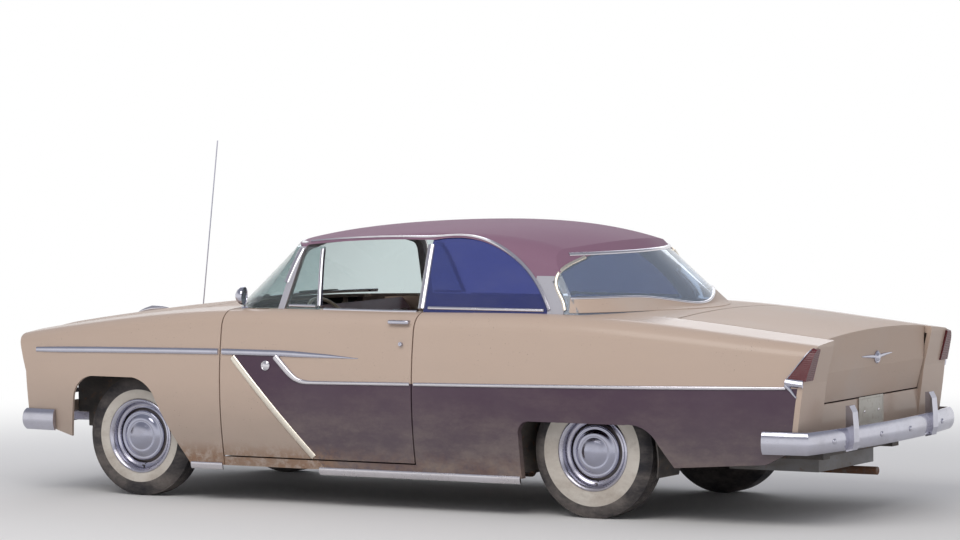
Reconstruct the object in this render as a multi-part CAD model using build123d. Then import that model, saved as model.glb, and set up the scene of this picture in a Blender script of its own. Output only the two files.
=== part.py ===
from build123d import *
import math
import os
from collections import namedtuple

os.makedirs("parts", exist_ok=True)

# A two-door hardtop coupe of the middle 1950s, all lengths in millimetres.
# +X is forward, +Y is the car's left, +Z is up, and the ground is z = 0 under the middle of the car.

# Overall places along the car
car_half_length = 2588.5
front_axle_x = 1733
rear_axle_x = -1188

# Body heights and seams
sill_z = 205
door_bottom_z = 262
belt_z = 1086
greenhouse_sink = 120
seam_gap = 8
door_front_x = 1106
door_rear_x = -139
panel_t = 18
quarter_t = 40
door_t = 100
hood_t = 24
hood_clear = 34
roof_t = 40
hood_half_width = 630
hood_rear_x = 1410
hood_rear_gap = 12
hood_front_x = 2455
deck_half_width = 606
deck_front_x = -1600
lid_gap = 10
lid_foot_z = 640
door_inner_y = 756
door_face_y = 842
door_ledge_z = 985
door_front_y = 826
step_x = 768
cowl_side_y = 796

# Wheels and tyres
front_tyre_r = 340
rear_tyre_r = 356
front_tyre_w = 162
rear_tyre_w = 178
front_track = 1495
rear_track = 1486
bead_r = 196
rim_lip_r = 210
hub_bore_r = 17
running_gap = 0.05
seat_gap = 0.3

# Outer body stations: x, half width, height of the widest line, half width at the sill,
# height of the crest, crest radius, lean of the upper side and end angle of the crest (degrees).
Station = namedtuple("Station", "x half_width waist_z foot_y crest_z crest_r lean crown")
body_stations = [
    Station(2620, 868, 640, 840, 888, 84, 12.0, 84.0),
    Station(2200, 916, 640, 878, 955, 96, 11.0, 84.5),
    Station(1700, 939, 640, 894, 1020, 104, 10.5, 85.0),
    Station(1100, 945, 640, 897, 1070, 110, 10.0, 86.0),
    Station(0, 945, 640, 897, 1080, 112, 10.0, 86.5),
    Station(-900, 945, 650, 897, 1086, 114, 10.0, 86.0),
    Station(-1700, 936, 650, 888, 1042, 110, 10.0, 84.5),
    Station(-2250, 908, 655, 866, 985, 98, 10.0, 84.0),
    Station(-2640, 876, 655, 846, 941, 86, 10.0, 84.0),
]

# Greenhouse stations: x, half width at the belt, lean of the side glass (degrees),
# radius of the roof edge, height of the roof on the centre line, radius of the roof's crown.
Bow = namedtuple("Bow", "x side_y lean edge_r top_z crown_r")
roof_bows = [
    Bow(1420, 760, 24, 120, 1290, 2600),
    Bow(820, 802, 24, 130, 1482, 2900),
    Bow(300, 815, 24, 140, 1540, 3000),
    Bow(-250, 818, 24, 150, 1558, 3000),
    Bow(-720, 808, 24, 175, 1525, 2700),
    Bow(-1150, 785, 25, 200, 1414, 2300),
    Bow(-1700, 730, 26, 180, 1185, 2300),
]

# Wrapped glass in plan, at the base and at the header: height, centre x, end x, end half width,
# radius of the middle, half angle of the middle (degrees).
Wrap = namedtuple("Wrap", "z centre_x end_x end_y mid_r mid_angle")
windscreen_wraps = [Wrap(1105, 1290, 790, 835, 1700, 15), Wrap(1450, 930, 700, 700, 1500, 12)]
backlight_wraps = [Wrap(1105, -1440, -1000, 835, 1200, 12), Wrap(1450, -1030, -760, 720, 1000, 12)]


def polar(centre, radius, angle):
    return (centre[0] + radius * math.cos(angle), centre[1] + radius * math.sin(angle))


def arc_at(place, centre, radius, start, end):
    mid = (start + end) / 2
    a, m, b = (place(*polar(centre, radius, t)) for t in (start, mid, end))
    return ThreePointArc(a, m, b)


def mirrored(point):
    return (point[0], -point[1], point[2])


def body_section(st, inset, foot_z):
    """Closed cross-section of the body: four tangent arcs on each side and a flat bottom."""
    lean, crown = math.radians(st.lean), math.radians(st.crown)
    drop, tuck = st.waist_z - sill_z, st.half_width - st.foot_y
    r_low = (tuck**2 + drop**2) / (2 * tuck)
    r_side = (st.crest_z - st.waist_z - st.crest_r * (math.sin(crown) - math.sin(lean))) / math.sin(lean)
    low_c = (st.half_width - r_low, st.waist_z)
    side_c = (st.half_width - r_side, st.waist_z)
    crest_c = polar(side_c, r_side - st.crest_r, lean)
    r_top = (crest_c[0] + st.crest_r * math.cos(crown)) / math.cos(crown)
    top_c = (0, crest_c[1] + st.crest_r * math.sin(crown) - r_top * math.sin(crown))
    foot_a = -math.asin((st.waist_z - foot_z) / (r_low - inset))

    def left(y, z):
        return (st.x, y, z)

    def right(y, z):
        return (st.x, -y, z)

    edges = []
    for place in (left, right):
        edges.append(arc_at(place, low_c, r_low - inset, foot_a, 0))
        edges.append(arc_at(place, side_c, r_side - inset, 0, lean))
        edges.append(arc_at(place, crest_c, st.crest_r - inset, lean, crown))
    edges.append(arc_at(left, top_c, r_top - inset, crown, math.pi - crown))
    foot = left(*polar(low_c, r_low - inset, foot_a))
    edges.append(Line(foot, mirrored(foot)))
    return Wire(edges)


def body_solid(inset):
    foot_z = sill_z if inset == 0 else sill_z - 60
    return Solid.make_loft([body_section(st, inset, foot_z) for st in body_stations])


def roof_section(bow, inset):
    """Closed cross-section of the greenhouse: leaning sides, rounded roof edges, crowned top."""
    lean = math.radians(bow.lean)
    along, inward = (-math.sin(lean), math.cos(lean)), (-math.cos(lean), -math.sin(lean))
    top_c = (0, bow.top_z - bow.crown_r)
    base = (bow.side_y + bow.edge_r * inward[0], belt_z + bow.edge_r * inward[1] - top_c[1])
    half_b = base[0] * along[0] + base[1] * along[1]
    c = base[0] ** 2 + base[1] ** 2 - (bow.crown_r - bow.edge_r) ** 2
    reach = -half_b + math.sqrt(half_b**2 - c)
    edge_c = (base[0] + reach * along[0], base[1] + reach * along[1] + top_c[1])
    crown = math.atan2(edge_c[1] - top_c[1], edge_c[0])
    foot_z = belt_z - greenhouse_sink
    foot_y = bow.side_y + greenhouse_sink * math.tan(lean) - inset / math.cos(lean)

    def left(y, z):
        return (bow.x, y, z)

    def right(y, z):
        return (bow.x, -y, z)

    edges = []
    for place in (left, right):
        start = place(*polar(edge_c, bow.edge_r - inset, lean))
        edges.append(Line(place(foot_y, foot_z), start))
        edges.append(arc_at(place, edge_c, bow.edge_r - inset, lean, crown))
    edges.append(arc_at(left, top_c, bow.crown_r - inset, crown, math.pi - crown))
    edges.append(Line(left(foot_y, foot_z), right(foot_y, foot_z)))
    return Wire(edges)


def wrap_at(wraps, z):
    low, high = wraps
    t = (z - low.z) / (high.z - low.z)
    return Wrap(*(a + t * (b - a) for a, b in zip(low, high)))


def wrap_edges(wrap, side, inset):
    """Three tangent arcs of one wrapped pane in plan; side is 1 at the front and -1 at the back."""
    a = math.radians(wrap.mid_angle)
    dy = wrap.end_y - wrap.mid_r * math.sin(a)
    dx = abs(wrap.centre_x - wrap.end_x) - wrap.mid_r * (1 - math.cos(a))
    end = 2 * math.atan2(dx, dy) - a
    corner_r = dy / (math.sin(end) - math.sin(a))
    mid_c = (abs(wrap.centre_x) - wrap.mid_r, 0)
    corner_c = polar(mid_c, wrap.mid_r - corner_r, a)

    def left(u, v):
        return (side * u, v, wrap.z)

    def right(u, v):
        return (side * u, -v, wrap.z)

    middle = arc_at(left, mid_c, wrap.mid_r - inset, -a, a)
    corners = [arc_at(place, corner_c, corner_r - inset, a, end) for place in (left, right)]
    return [middle, *corners], left(*polar(corner_c, corner_r - inset, end))


def wrap_section(z, inset):
    front, front_end = wrap_edges(wrap_at(windscreen_wraps, z), 1, inset)
    back, back_end = wrap_edges(wrap_at(backlight_wraps, z), -1, inset)
    sides = [Line(front_end, back_end), Line(mirrored(front_end), mirrored(back_end))]
    return Wire([*front, *back, *sides])


def greenhouse_solid(inset):
    dome = Solid.make_loft([roof_section(bow, inset) for bow in roof_bows])
    wrap = Solid.make_loft([wrap_section(z, inset) for z in (belt_z - greenhouse_sink, 1600)], True)
    return dome & wrap


def plate_xz(points, y0, y1):
    """Flat outline in side view, given as x, z pairs, carried from y0 to y1."""
    outline = Polyline(*[(x, y0, z) for x, z in points], close=True)
    return extrude(make_face(outline), amount=y1 - y0, dir=(0, 1, 0))


def edges_xz(edges, y0, y1):
    return extrude(Face(Wire(edges)), amount=y1 - y0, dir=(0, 1, 0))


def plate_xy(points, z0, z1):
    """Flat outline in plan, given as x, y pairs, carried from z0 to z1."""
    outline = Polyline(*[(x, y, z0) for x, y in points], close=True)
    return extrude(make_face(outline), amount=z1 - z0, dir=(0, 0, 1))


def block(x0, x1, y0, y1, z0, z1):
    return Pos((x0 + x1) / 2, (y0 + y1) / 2, (z0 + z1) / 2) * Box(x1 - x0, y1 - y0, z1 - z0)


def rod(start, end, radius):
    """Round bar from one point to another."""
    axis = Vector(*end) - Vector(*start)
    return extrude(Plane(origin=start, z_dir=axis) * Circle(radius), amount=axis.length)


def turned(profile, origin, axis=(0, 1, 0)):
    """Solid of revolution: profile is (radius, height) pairs or ready edges, height along the axis."""
    if isinstance(profile[0], tuple):
        profile = Polyline(*[(r, 0, h) for r, h in profile], close=True)
        face = make_face(profile)
    else:
        face = make_face(profile)
    solid = revolve(face, Axis.Z, 360)
    return Plane(origin=origin, z_dir=axis) * solid


def other_side(shape):
    return mirror(shape, about=Plane.XZ)


def save(name, *shapes):
    shape = shapes[0] if len(shapes) == 1 else Compound(children=list(shapes))
    solids = shape.solids()
    keep = solids[0] if len(solids) == 1 else Compound(children=list(solids))
    export_step(keep, f"parts/{name}.step")


far = 4000
body_out = body_solid(0)
body_in = {t: body_solid(t) for t in (panel_t, hood_t, quarter_t, door_t, hood_clear)}
cabin = greenhouse_solid(roof_t)


def skin(region, thickness):
    return (body_out & region) - body_in[thickness]


# Wheel openings in side view: the front one is open and slanted behind, the rear one cuts low over the tyre.
front_arch_top_z = 680
rear_arch_top_z = 519


def front_arch(y0, y1):
    foot, knee, brow = (1300, 150), (1372, 262), (1560, 590)
    top_a, top_b = (1700, front_arch_top_z), (1985, front_arch_top_z)
    nose, toe = (2120, 560), (2165, 150)
    pts = [(x, y0, z) for x, z in (foot, knee, brow, top_a, top_b, nose, toe)]
    path = [
        Line(pts[0], pts[1]),
        ThreePointArc(pts[1], (1478, y0, 432), pts[2]),
        ThreePointArc(pts[2], (1620, y0, 650), pts[3]),
        Line(pts[3], pts[4]),
        ThreePointArc(pts[4], (2075, y0, 642), pts[5]),
        Line(pts[5], pts[6]),
        Line(pts[6], pts[0]),
    ]
    return edges_xz(path, y0, y1)


def rear_arch(y0, y1):
    pts = [(-797, 150), (-797, 440), (-868, rear_arch_top_z), (-1440, rear_arch_top_z)]
    pts += [(-1640, 415), (-1760, 250), (-1790, 150)]
    pts = [(x, y0, z) for x, z in pts]
    path = [
        Line(pts[0], pts[1]),
        ThreePointArc(pts[1], (-815, y0, 500), pts[2]),
        Line(pts[2], pts[3]),
        ThreePointArc(pts[3], (-1572, y0, 492), pts[4]),
        Line(pts[4], pts[5]),
        Line(pts[5], pts[6]),
        Line(pts[6], pts[0]),
    ]
    return edges_xz(path, y0, y1)


# Side windows, windscreen and backlight in side view
a_pillar_w = 42
pillar_foot_x = 775
drip_front = (715, 1428)
drip_mid = (-112, 1466)
quarter_foot_x = -905
vent_post_foot_x, vent_post_top_x = 535, 599


def side_opening(y0, y1, clear=0):
    foot = belt_z - greenhouse_sink
    rear = quarter_foot_x + clear
    pts = [(pillar_foot_x - clear, foot), (drip_front[0] - clear, drip_front[1] - clear)]
    pts += [(drip_mid[0], drip_mid[1] - clear), (rear, 1100), (rear, foot)]
    a, b, c, d, e = [(x, y0, z) for x, z in pts]
    path = [
        Line(a, b),
        ThreePointArc(b, (300, y0, 1460 - clear), c),
        ThreePointArc(c, (-618 + clear, y0, 1386 - clear), d),
        Line(d, e),
        Line(e, a),
    ]
    return edges_xz(path, y0, y1)


def windscreen_region():
    foot = belt_z - greenhouse_sink
    points = [(pillar_foot_x + a_pillar_w, foot), (drip_front[0] + a_pillar_w, 1425), (935, 1444)]
    points += [(1500, 1444), (1500, foot)]
    return plate_xz(points, -far, far)


def backlight_region():
    foot = belt_z - greenhouse_sink
    points = [(-1004, foot), (-1000, 1138), (-899, 1254), (-988, 1384), (-1058, 1404)]
    points += [(-1900, 1404), (-1900, foot)]
    a, b, c, d, e, f, g = [(x, -far, z) for x, z in points]
    path = [
        Line(a, b),
        Line(b, c),
        ThreePointArc(c, (-950, -far, 1330), d),
        ThreePointArc(d, (-1020, -far, 1400), e),
        Line(e, f),
        Line(f, g),
        Line(g, a),
    ]
    return edges_xz(path, -far, far)


def make_greenhouse():
    outer = greenhouse_solid(0)
    shell = outer - cabin
    sides = side_opening(-far, -400) + side_opening(400, far)
    roof = shell - sides - windscreen_region() - backlight_region() - body_out
    save("roof_panel", max(roof.solids(), key=lambda s: s.volume))
    pane = (greenhouse_solid(5) - greenhouse_solid(11)) - body_out
    save("windscreen_glass", pane & windscreen_region())
    save("backlight_glass", pane & backlight_region())
    quarter_line = plate_xz([(-160, 900), (-104, 1480), (-1500, 1480), (-1500, 900)], 400, far)
    quarter = pane & side_opening(400, far) & quarter_line
    save("quarter_glass", quarter, other_side(quarter))
    post = vent_post_foot_x, vent_post_top_x
    vent_area = [(760, 1040), (705, 1416), (post[1], 1420), (post[0], 1040)]
    vent = (greenhouse_solid(7) - greenhouse_solid(12)) & plate_xz(vent_area, 400, far)
    bar_area = [(post[0] + 7, 1040), (post[1] + 7, 1416), (post[1] - 7, 1416), (post[0] - 7, 1040)]
    bar = (greenhouse_solid(3) - greenhouse_solid(16)) & plate_xz(bar_area, 400, far)
    vent = (vent + bar) - body_out
    save("vent_window_left", vent)
    save("vent_window_right", other_side(vent))


def make_cowl():
    half = hood_half_width + seam_gap / 2
    edge = door_front_x - seam_gap
    front = hood_rear_x - hood_rear_gap
    inside = door_front_y - seam_gap
    outline = [(front, half), (edge, half), (edge, cowl_side_y), (860, cowl_side_y)]
    outline += [(860, inside), (step_x + seam_gap, inside)]
    outline += [(x, -y) for x, y in reversed(outline)]
    cowl = skin(plate_xy(outline, 900, 1300), panel_t) - cabin
    save("cowl_panel", fused([cowl, *[hook_pin(hood_hinge, s) for s in (-1, 1)]]))


# Fender ends in side view: the brow leans out over the headlamp
brow_x, brow_z = 2540, 905
fender_face_x = 2470
headlamp_y, headlamp_z = 745, 792
headlamp_r = 98


def fender_outline(y0, y1):
    rear = door_front_x + seam_gap / 2
    points = [(rear, 150), (rear, 1300), (brow_x, 1300), (brow_x, brow_z - 20), (fender_face_x, 690)]
    points += [(fender_face_x - 20, 420), (2140, 330), (2140, 150)]
    return plate_xz(points, y0, y1)


def make_fender():
    side = skin(fender_outline(hood_half_width + seam_gap / 2, far), panel_t)
    side = side - front_arch(400, far)
    line = [(brow_x, brow_z - 20), (fender_face_x, 690), (fender_face_x - 20, 420)]
    inside = [(x - panel_t, z) for x, z in reversed(line)]
    face = plate_xz(line + inside, hood_half_width + seam_gap / 2, far) & body_out
    lamp_at = headlamp_y, headlamp_z
    lamp_hole = rod((fender_face_x - 150, *lamp_at), (brow_x, *lamp_at), headlamp_r)
    fender = side + (face - lamp_hole)
    save("front_fender_left", fender)
    save("front_fender_right", other_side(fender))


def make_hood():
    half = hood_half_width - seam_gap / 2
    a, b, c = (hood_front_x - 60, -half, 800), (hood_front_x + 40, 0, 800), (hood_front_x - 60, half, 800)
    rear = hood_rear_x
    path = [ThreePointArc(a, b, c), Line(c, (rear, half, 800)), Line((rear, half, 800), (rear, -half, 800)),
            Line((rear, -half, 800), a)]
    region = extrude(Face(Wire(path)), amount=400, dir=(0, 0, 1))
    panel = skin(region, hood_t)
    arms = [hook(hood_hinge, side, 1) for side in (-1, 1)]
    straps = []
    for s in (-1, 1):
        y = s * hood_hinge.y
        strap = block(hood_rear_x + 4, hood_rear_x + 160, y - 12, y + 12, 900, 1300)
        straps.append(strap & body_in[hood_t] - body_in[hood_clear])
    save("hood", fused([panel, *arms, *straps]))


def fused(shapes):
    total = shapes[0]
    for shape in shapes[1:]:
        total = total + shape
    return total


# Hinges of the hood and the boot lid: each lid hangs on two hooked arms that swing about a pin
Hook = namedtuple("Hook", "x y z radius")
hood_hinge = Hook(1232, 576, 1020, 190)
lid_hinge = Hook(-1420, 520, 1044, 210)
hook_t = 12
hook_w = 16
pin_r = 8


def hook(at, side, ahead):
    """Arm from the pin straight down, round a quarter circle and up to the lid."""
    y0 = side * at.y - hook_t / 2
    r0, r1 = at.radius - hook_w / 2, at.radius + hook_w / 2

    def pt(r, turn):
        return (at.x + ahead * r * math.sin(turn), y0, at.z - r * math.cos(turn))

    quarter = math.pi / 2
    path = [
        ThreePointArc(pt(r1, 0), pt(r1, quarter / 2), pt(r1, quarter)),
        Line(pt(r1, quarter), pt(r0, quarter)),
        ThreePointArc(pt(r0, quarter), pt(r0, quarter / 2), pt(r0, 0)),
        Line(pt(r0, 0), pt(r1, 0)),
    ]
    ring = edges_xz(path, y0, y0 + hook_t)
    bar = block(at.x - hook_w / 2, at.x + hook_w / 2, y0, y0 + hook_t, at.z - at.radius, at.z)
    eye = Pos(at.x, y0 + hook_t / 2, at.z) * Rot(90, 0, 0) * Cylinder(pin_r + 8, hook_t)
    riser = block(*sorted((at.x + ahead * r0, at.x + ahead * r1)), y0, y0 + hook_t, at.z - 4, at.z + 140)
    riser = riser & body_in[hood_t]
    hole = Pos(at.x, y0 + hook_t / 2, at.z) * Rot(90, 0, 0) * Cylinder(pin_r + seat_gap, hook_t * 3)
    return ring + bar + eye + riser - hole


def hook_pin(at, side):
    """Pin and its bracket, fixed to the body beside the arm."""
    y = side * at.y
    pin = rod((at.x, y - side * 10, at.z), (at.x, y + side * 14, at.z), pin_r)
    cheek = block(at.x - 14, at.x + 14, *sorted((y + side * 12, y + side * 20)), at.z - 14, at.z + 90)
    return pin + (cheek & body_in[panel_t])


def make_door():
    edge = seam_gap / 2
    area = [(door_front_x - edge, door_bottom_z), (door_front_x - edge, 1300), (door_rear_x + edge, 1300)]
    area += [(door_rear_x + edge, door_bottom_z)]
    door = body_out & plate_xz(area, door_inner_y, far)
    door = door - block(-far, far, 0, door_face_y, 0, door_ledge_z)
    door = door - block(step_x, far, 0, door_front_y, 0, far)
    for z in door_hinge_zs:
        door = door - hinge_pocket(z)
    handle = door_handle()
    save("door_left", door + handle)
    save("door_right", other_side(door + handle))


# Door hinges: a pin on the pillar's arm turns in the door, in a pocket open to the front and inside
door_hinge_x, door_hinge_y = 1032, 923
door_pin_r, door_eye_r = 5, 8
door_hinge_zs = (500, 780)
hinge_arm_h = 40
hinge_clear = 6
hinge_pin_h = 100


def hinge_pocket(z):
    half = hinge_arm_h / 2 + hinge_clear
    outer = door_hinge_y + door_eye_r + 1.5
    room = block(door_hinge_x - 26, door_front_x + 20, 700, outer, z - half, z + half)
    hole = Pos(door_hinge_x, door_hinge_y, z) * Cylinder(door_pin_r + seat_gap, hinge_pin_h + 2)
    return room + hole


def door_hinge(z):
    """Arm from the pillar with a rounded eye, and the pin through it."""
    half = hinge_arm_h / 2
    pin = Pos(door_hinge_x, door_hinge_y, z) * Cylinder(door_pin_r, hinge_pin_h)
    arm_x = door_hinge_x - door_eye_r, door_hinge_x + door_eye_r
    arm = block(*arm_x, pillar_y, door_hinge_y, z - half, z + half)
    eye = Pos(door_hinge_x, door_hinge_y, z) * Cylinder(door_eye_r, hinge_arm_h)
    return pin + arm + eye


handle_x, handle_y, handle_z = -48, 917, 1030


def door_handle():
    """Pull handle on two posts and a push button."""
    grip = block(handle_x - 62, handle_x + 62, handle_y, handle_y + 12, handle_z - 9, handle_z + 9)
    posts = []
    for x in (handle_x - 50, handle_x + 50):
        posts.append(block(x - 8, x + 8, handle_y - 32, handle_y + 4, handle_z - 7, handle_z + 7))
    return fused([grip, *posts])


# Rear of the body
tail_foot_x, tail_mid_x, tail_top_x = -2425, -2470, -2515
tail_foot_z, tail_mid_z, tail_top_z = 430, 760, 945
tail_t = 25
plate_hole_gap, plate_hole_r, plate_z = 178, 3.5, 560
lamp_y, lamp_proud = 800, 6


def tail_line():
    return [(tail_top_x, tail_top_z), (tail_mid_x, tail_mid_z), (tail_foot_x, tail_foot_z)]


def quarter_outline(y0, y1):
    front = door_rear_x - seam_gap / 2
    points = [(front, 150), (front, 1300), (tail_top_x, 1300), *tail_line()]
    points += [(-2250, 335), (-1720, 300), (-1720, 150)]
    return plate_xz(points, y0, y1)


def quarter_cap():
    """Leaning rear face of the fender that carries the tail lamp."""
    line = [(tail_top_x, 1100), *tail_line()]
    inside = [(x + tail_t, z) for x, z in reversed(line)]
    return plate_xz(line + inside, deck_half_width + seam_gap / 2, far) & body_out


def lamp_wedge(y0, y1):
    """Room of the tail lamp: a wedge that leans back up the corner of the fender."""
    return plate_xz([(-2378, 783), (-2484, 776), (-2528, 938), (-2502, 948)], y0, y1)


def make_quarter():
    inner = deck_half_width + seam_gap / 2
    region = quarter_outline(inner, far) - block(-960, 0, 0, door_inner_y, 900, 1300)
    side = skin(region, quarter_t) - cabin
    jamb = (body_out & block(-187, door_rear_x - seam_gap / 2, 780, 1000, sill_z, 1060)) - cabin
    quarter = (side + jamb + quarter_cap()) - rear_arch(500, far) - lamp_wedge(lamp_y, far)
    save("quarter_panel_left", quarter)
    save("quarter_panel_right", other_side(quarter))


def make_tail():
    half = deck_half_width + seam_gap / 2
    rear = deck_front_x + lid_gap / 2
    top = skin(plate_xy([(rear, half), (-960, half), (-960, -half), (rear, -half)], 900, 1300), panel_t)
    save("rear_shelf_panel", fused([top - cabin, *[hook_pin(lid_hinge, s) for s in (-1, 1)]]))
    panel = block(tail_foot_x - 6, boot_end_x, -half, half, tail_foot_z, lid_foot_z - seam_gap)
    for y in (-plate_hole_gap / 2, plate_hole_gap / 2):
        panel = panel - rod((tail_foot_x - 20, y, plate_z), (tail_foot_x + 40, y, plate_z), plate_hole_r)
    save("tail_panel", panel)


def make_lid():
    half = deck_half_width - seam_gap / 2
    front, rear = deck_front_x - lid_gap / 2, tail_top_x + 40
    deck = skin(plate_xy([(front, half), (rear, half), (rear, -half), (front, -half)], 850, 1300), hood_t)
    line = [(rear, 1300), (rear, 930), (tail_mid_x, 800), (tail_foot_x - 4, lid_foot_z)]
    inside = [(x + hood_t, z) for x, z in reversed(line)]
    drop = plate_xz(line + inside, -half, half) & body_out
    arms = [hook(lid_hinge, side, -1) for side in (-1, 1)]
    save("boot_lid", fused([deck, drop, *arms]))


# Underbody
rail_top_z = 430
shelf_z = 724
floor_z, floor_t = 300, 14
floor_half = 780
tunnel_half, tunnel_z = 130, 570
shaft_tunnel_half, shaft_tunnel_z = 80, 440
tunnel_rear_x, tunnel_step_x = -728, 620
firewall_x = 1150
pillar_front_x, pillar_in_y, pillar_y, pillar_top_z = 1098, 740, 794, 976
rail_y, rail_w = 430, 80
boot_floor_z = 440
radiator_bar_z = 420
cross_bar_z = 200
engine_back_x = 1230
exhaust_y, exhaust_z, tail_pipe_z = -200, 160, 215
boot_end_x = tail_foot_x + 14


def make_underbody():
    t = floor_t
    wide, slim = tunnel_half, shaft_tunnel_half
    side = [(firewall_x, 1010), (firewall_x, 430), (1060, floor_z), (-560, floor_z), (-700, 430), (-900, 600)]
    side += [(-1500, 600), (-1640, boot_floor_z), (boot_end_x, boot_floor_z)]
    under = [(x + (t if z > 430 and x > 0 else 0), z + (0 if z > 1000 else -t)) for x, z in reversed(side)]
    narrow = plate_xz(side + under, -600, 600)
    front_part = block(-560, 1040, -floor_half, floor_half, floor_z - t, floor_z)
    boot_part = block(tail_foot_x + tail_t, -1680, -floor_half, floor_half, boot_floor_z - t, boot_floor_z)
    low, sill_top = sill_z + 6, door_bottom_z - seam_gap
    sill = block(door_rear_x, pillar_front_x, 770, 838, low, sill_top)
    sill = sill + block(door_rear_x, pillar_front_x, 770, 784, low, floor_z)
    ledge = block(-760, -190, 770, 864, floor_z - t, floor_z)
    pillar = block(pillar_front_x - 88, pillar_front_x, pillar_in_y, pillar_y, low, pillar_top_z)
    pillar = pillar + fused([door_hinge(z) for z in door_hinge_zs])
    bulkhead = block(firewall_x - 60, firewall_x + t, 590, pillar_y, floor_z - t, pillar_top_z)
    tunnel = block(tunnel_step_x, firewall_x + t, -wide - t, wide + t, floor_z - t, tunnel_z + t)
    rear_tunnel = block(tunnel_rear_x, tunnel_step_x, -slim - t, slim + t, floor_z - t, shaft_tunnel_z + t)
    hollow = block(tunnel_step_x + t, 1200, -wide, wide, 200, tunnel_z)
    hollow = hollow + block(tunnel_rear_x, 1200, -slim, slim, 200, shaft_tunnel_z)
    near = fused([sill, ledge, pillar, bulkhead])
    body = fused([narrow, front_part, tunnel, rear_tunnel, boot_part, near, other_side(near)])
    save("floor_and_firewall", body - hollow)


def make_rockers():
    top = door_bottom_z - seam_gap
    rocker = skin(block(door_rear_x - seam_gap / 2, door_front_x, 838, far, sill_z, top), door_t)
    save("rocker_panels", rocker, other_side(rocker))


def make_aprons():
    nose = hood_front_x - 50
    edge = hood_half_width + seam_gap / 2
    band = plate_xz([(1180, 1000), (2400, 860), (2400, 1300), (1180, 1300)], 600, 700)
    flange = band & body_in[panel_t] & block(0, far, edge, far, 0, far)
    lip = band & body_in[hood_clear] & block(0, far, 600, edge, 0, far)
    upper = plate_xz([(1180, shelf_z), (nose, shelf_z), (nose, 870), (1180, 1010)], 600, 612)
    shelf = block(1180, nose, 455, 612, shelf_z, shelf_z + 12)
    wall = block(1180, nose, 455, 467, rail_top_z, shelf_z + 12)
    arm_slot = block(front_axle_x - 170, front_axle_x + 170, 400, 500, 0, 530)
    apron = fused([flange, lip, upper, shelf, wall]) - arm_slot
    save("inner_fenders", apron, other_side(apron))


def make_chassis():
    floor_low = floor_z - floor_t - 2
    under = [(2330, 350), (1480, 300), (1180, 190), (-620, 190), (-800, 340), (-930, 490), (-1430, 490)]
    under += [(-1640, 330), (-2380, 330)]
    over = [(-2380, 420), (-1640, 425), (-1470, 580), (-900, 580), (-700, floor_low), (1100, floor_low)]
    over += [(1180, 300), (1480, rail_top_z), (2330, rail_top_z)]
    rails = [plate_xz(under + over, s * rail_y - rail_w / 2, s * rail_y + rail_w / 2) for s in (-1, 1)]
    # Cross members: x, width, bottom and top
    bars = [(2250, 60, 350, radiator_bar_z), (1000, 80, cross_bar_z, 270), (-300, 80, cross_bar_z, 270)]
    bars += [(-1700, 60, 345, 405), (-2330, 50, 340, 410)]
    cross = [block(x - w / 2, x + w / 2, -rail_y, rail_y, z0, z1) for x, w, z0, z1 in bars]
    save("chassis_frame", fused(rails + cross))


# Front suspension and steering
kingpin_y = front_track / 2 - 112
kingpin_r = 13
kingpin_low, kingpin_high = front_tyre_r - 120, front_tyre_r + 120
spindle_r = hub_bore_r - running_gap


def make_front_suspension():
    z = front_tyre_r
    rail_in_y = rail_y - rail_w / 2
    beam = block(front_axle_x - 60, front_axle_x + 60, -rail_in_y, rail_in_y, 215, 345)
    parts = [beam]
    for s in (-1, 1):
        y = s * kingpin_y
        for z0, t, inner in ((kingpin_low, 26, 380), (kingpin_high, 22, 400)):
            for dx in (-110, 110):
                parts.append(rod((front_axle_x + dx, s * inner, z0), (front_axle_x + dx * 0.2, y, z0), 12))
            parts.append(Pos(front_axle_x, y, z0) * Cylinder(24, t))
            pivot_y = s * (inner - 4)
            parts.append(rod((front_axle_x - 130, pivot_y, z0), (front_axle_x + 130, pivot_y, z0), 14))
        tower_y = sorted((s * 330, s * rail_in_y))
        parts.append(block(front_axle_x - 50, front_axle_x + 50, *tower_y, 215, kingpin_high + 14))
    body = fused(parts)
    for s in (-1, 1):
        body = body - Pos(front_axle_x, s * kingpin_y, z) * Cylinder(kingpin_r + seat_gap, 600)
    save("front_suspension", body)


def make_knuckle():
    z = front_tyre_r
    pin = Pos(front_axle_x, kingpin_y, z) * Cylinder(kingpin_r, kingpin_high - kingpin_low + 30)
    upright = Pos(front_axle_x, kingpin_y, z) * Cylinder(30, kingpin_high - kingpin_low - 60)
    spindle = rod((front_axle_x, kingpin_y, z), (front_axle_x, front_track / 2 + 30, z), spindle_r)
    collar = rod((front_axle_x, kingpin_y, z), (front_axle_x, kingpin_y + 40, z), 34)
    arm = rod((front_axle_x, kingpin_y, z - 80), (front_axle_x - 150, kingpin_y - 24, z - 80), 11)
    knuckle = fused([pin, upright, spindle, collar, arm])
    save("knuckle_left", knuckle)
    save("knuckle_right", other_side(knuckle))


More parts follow.
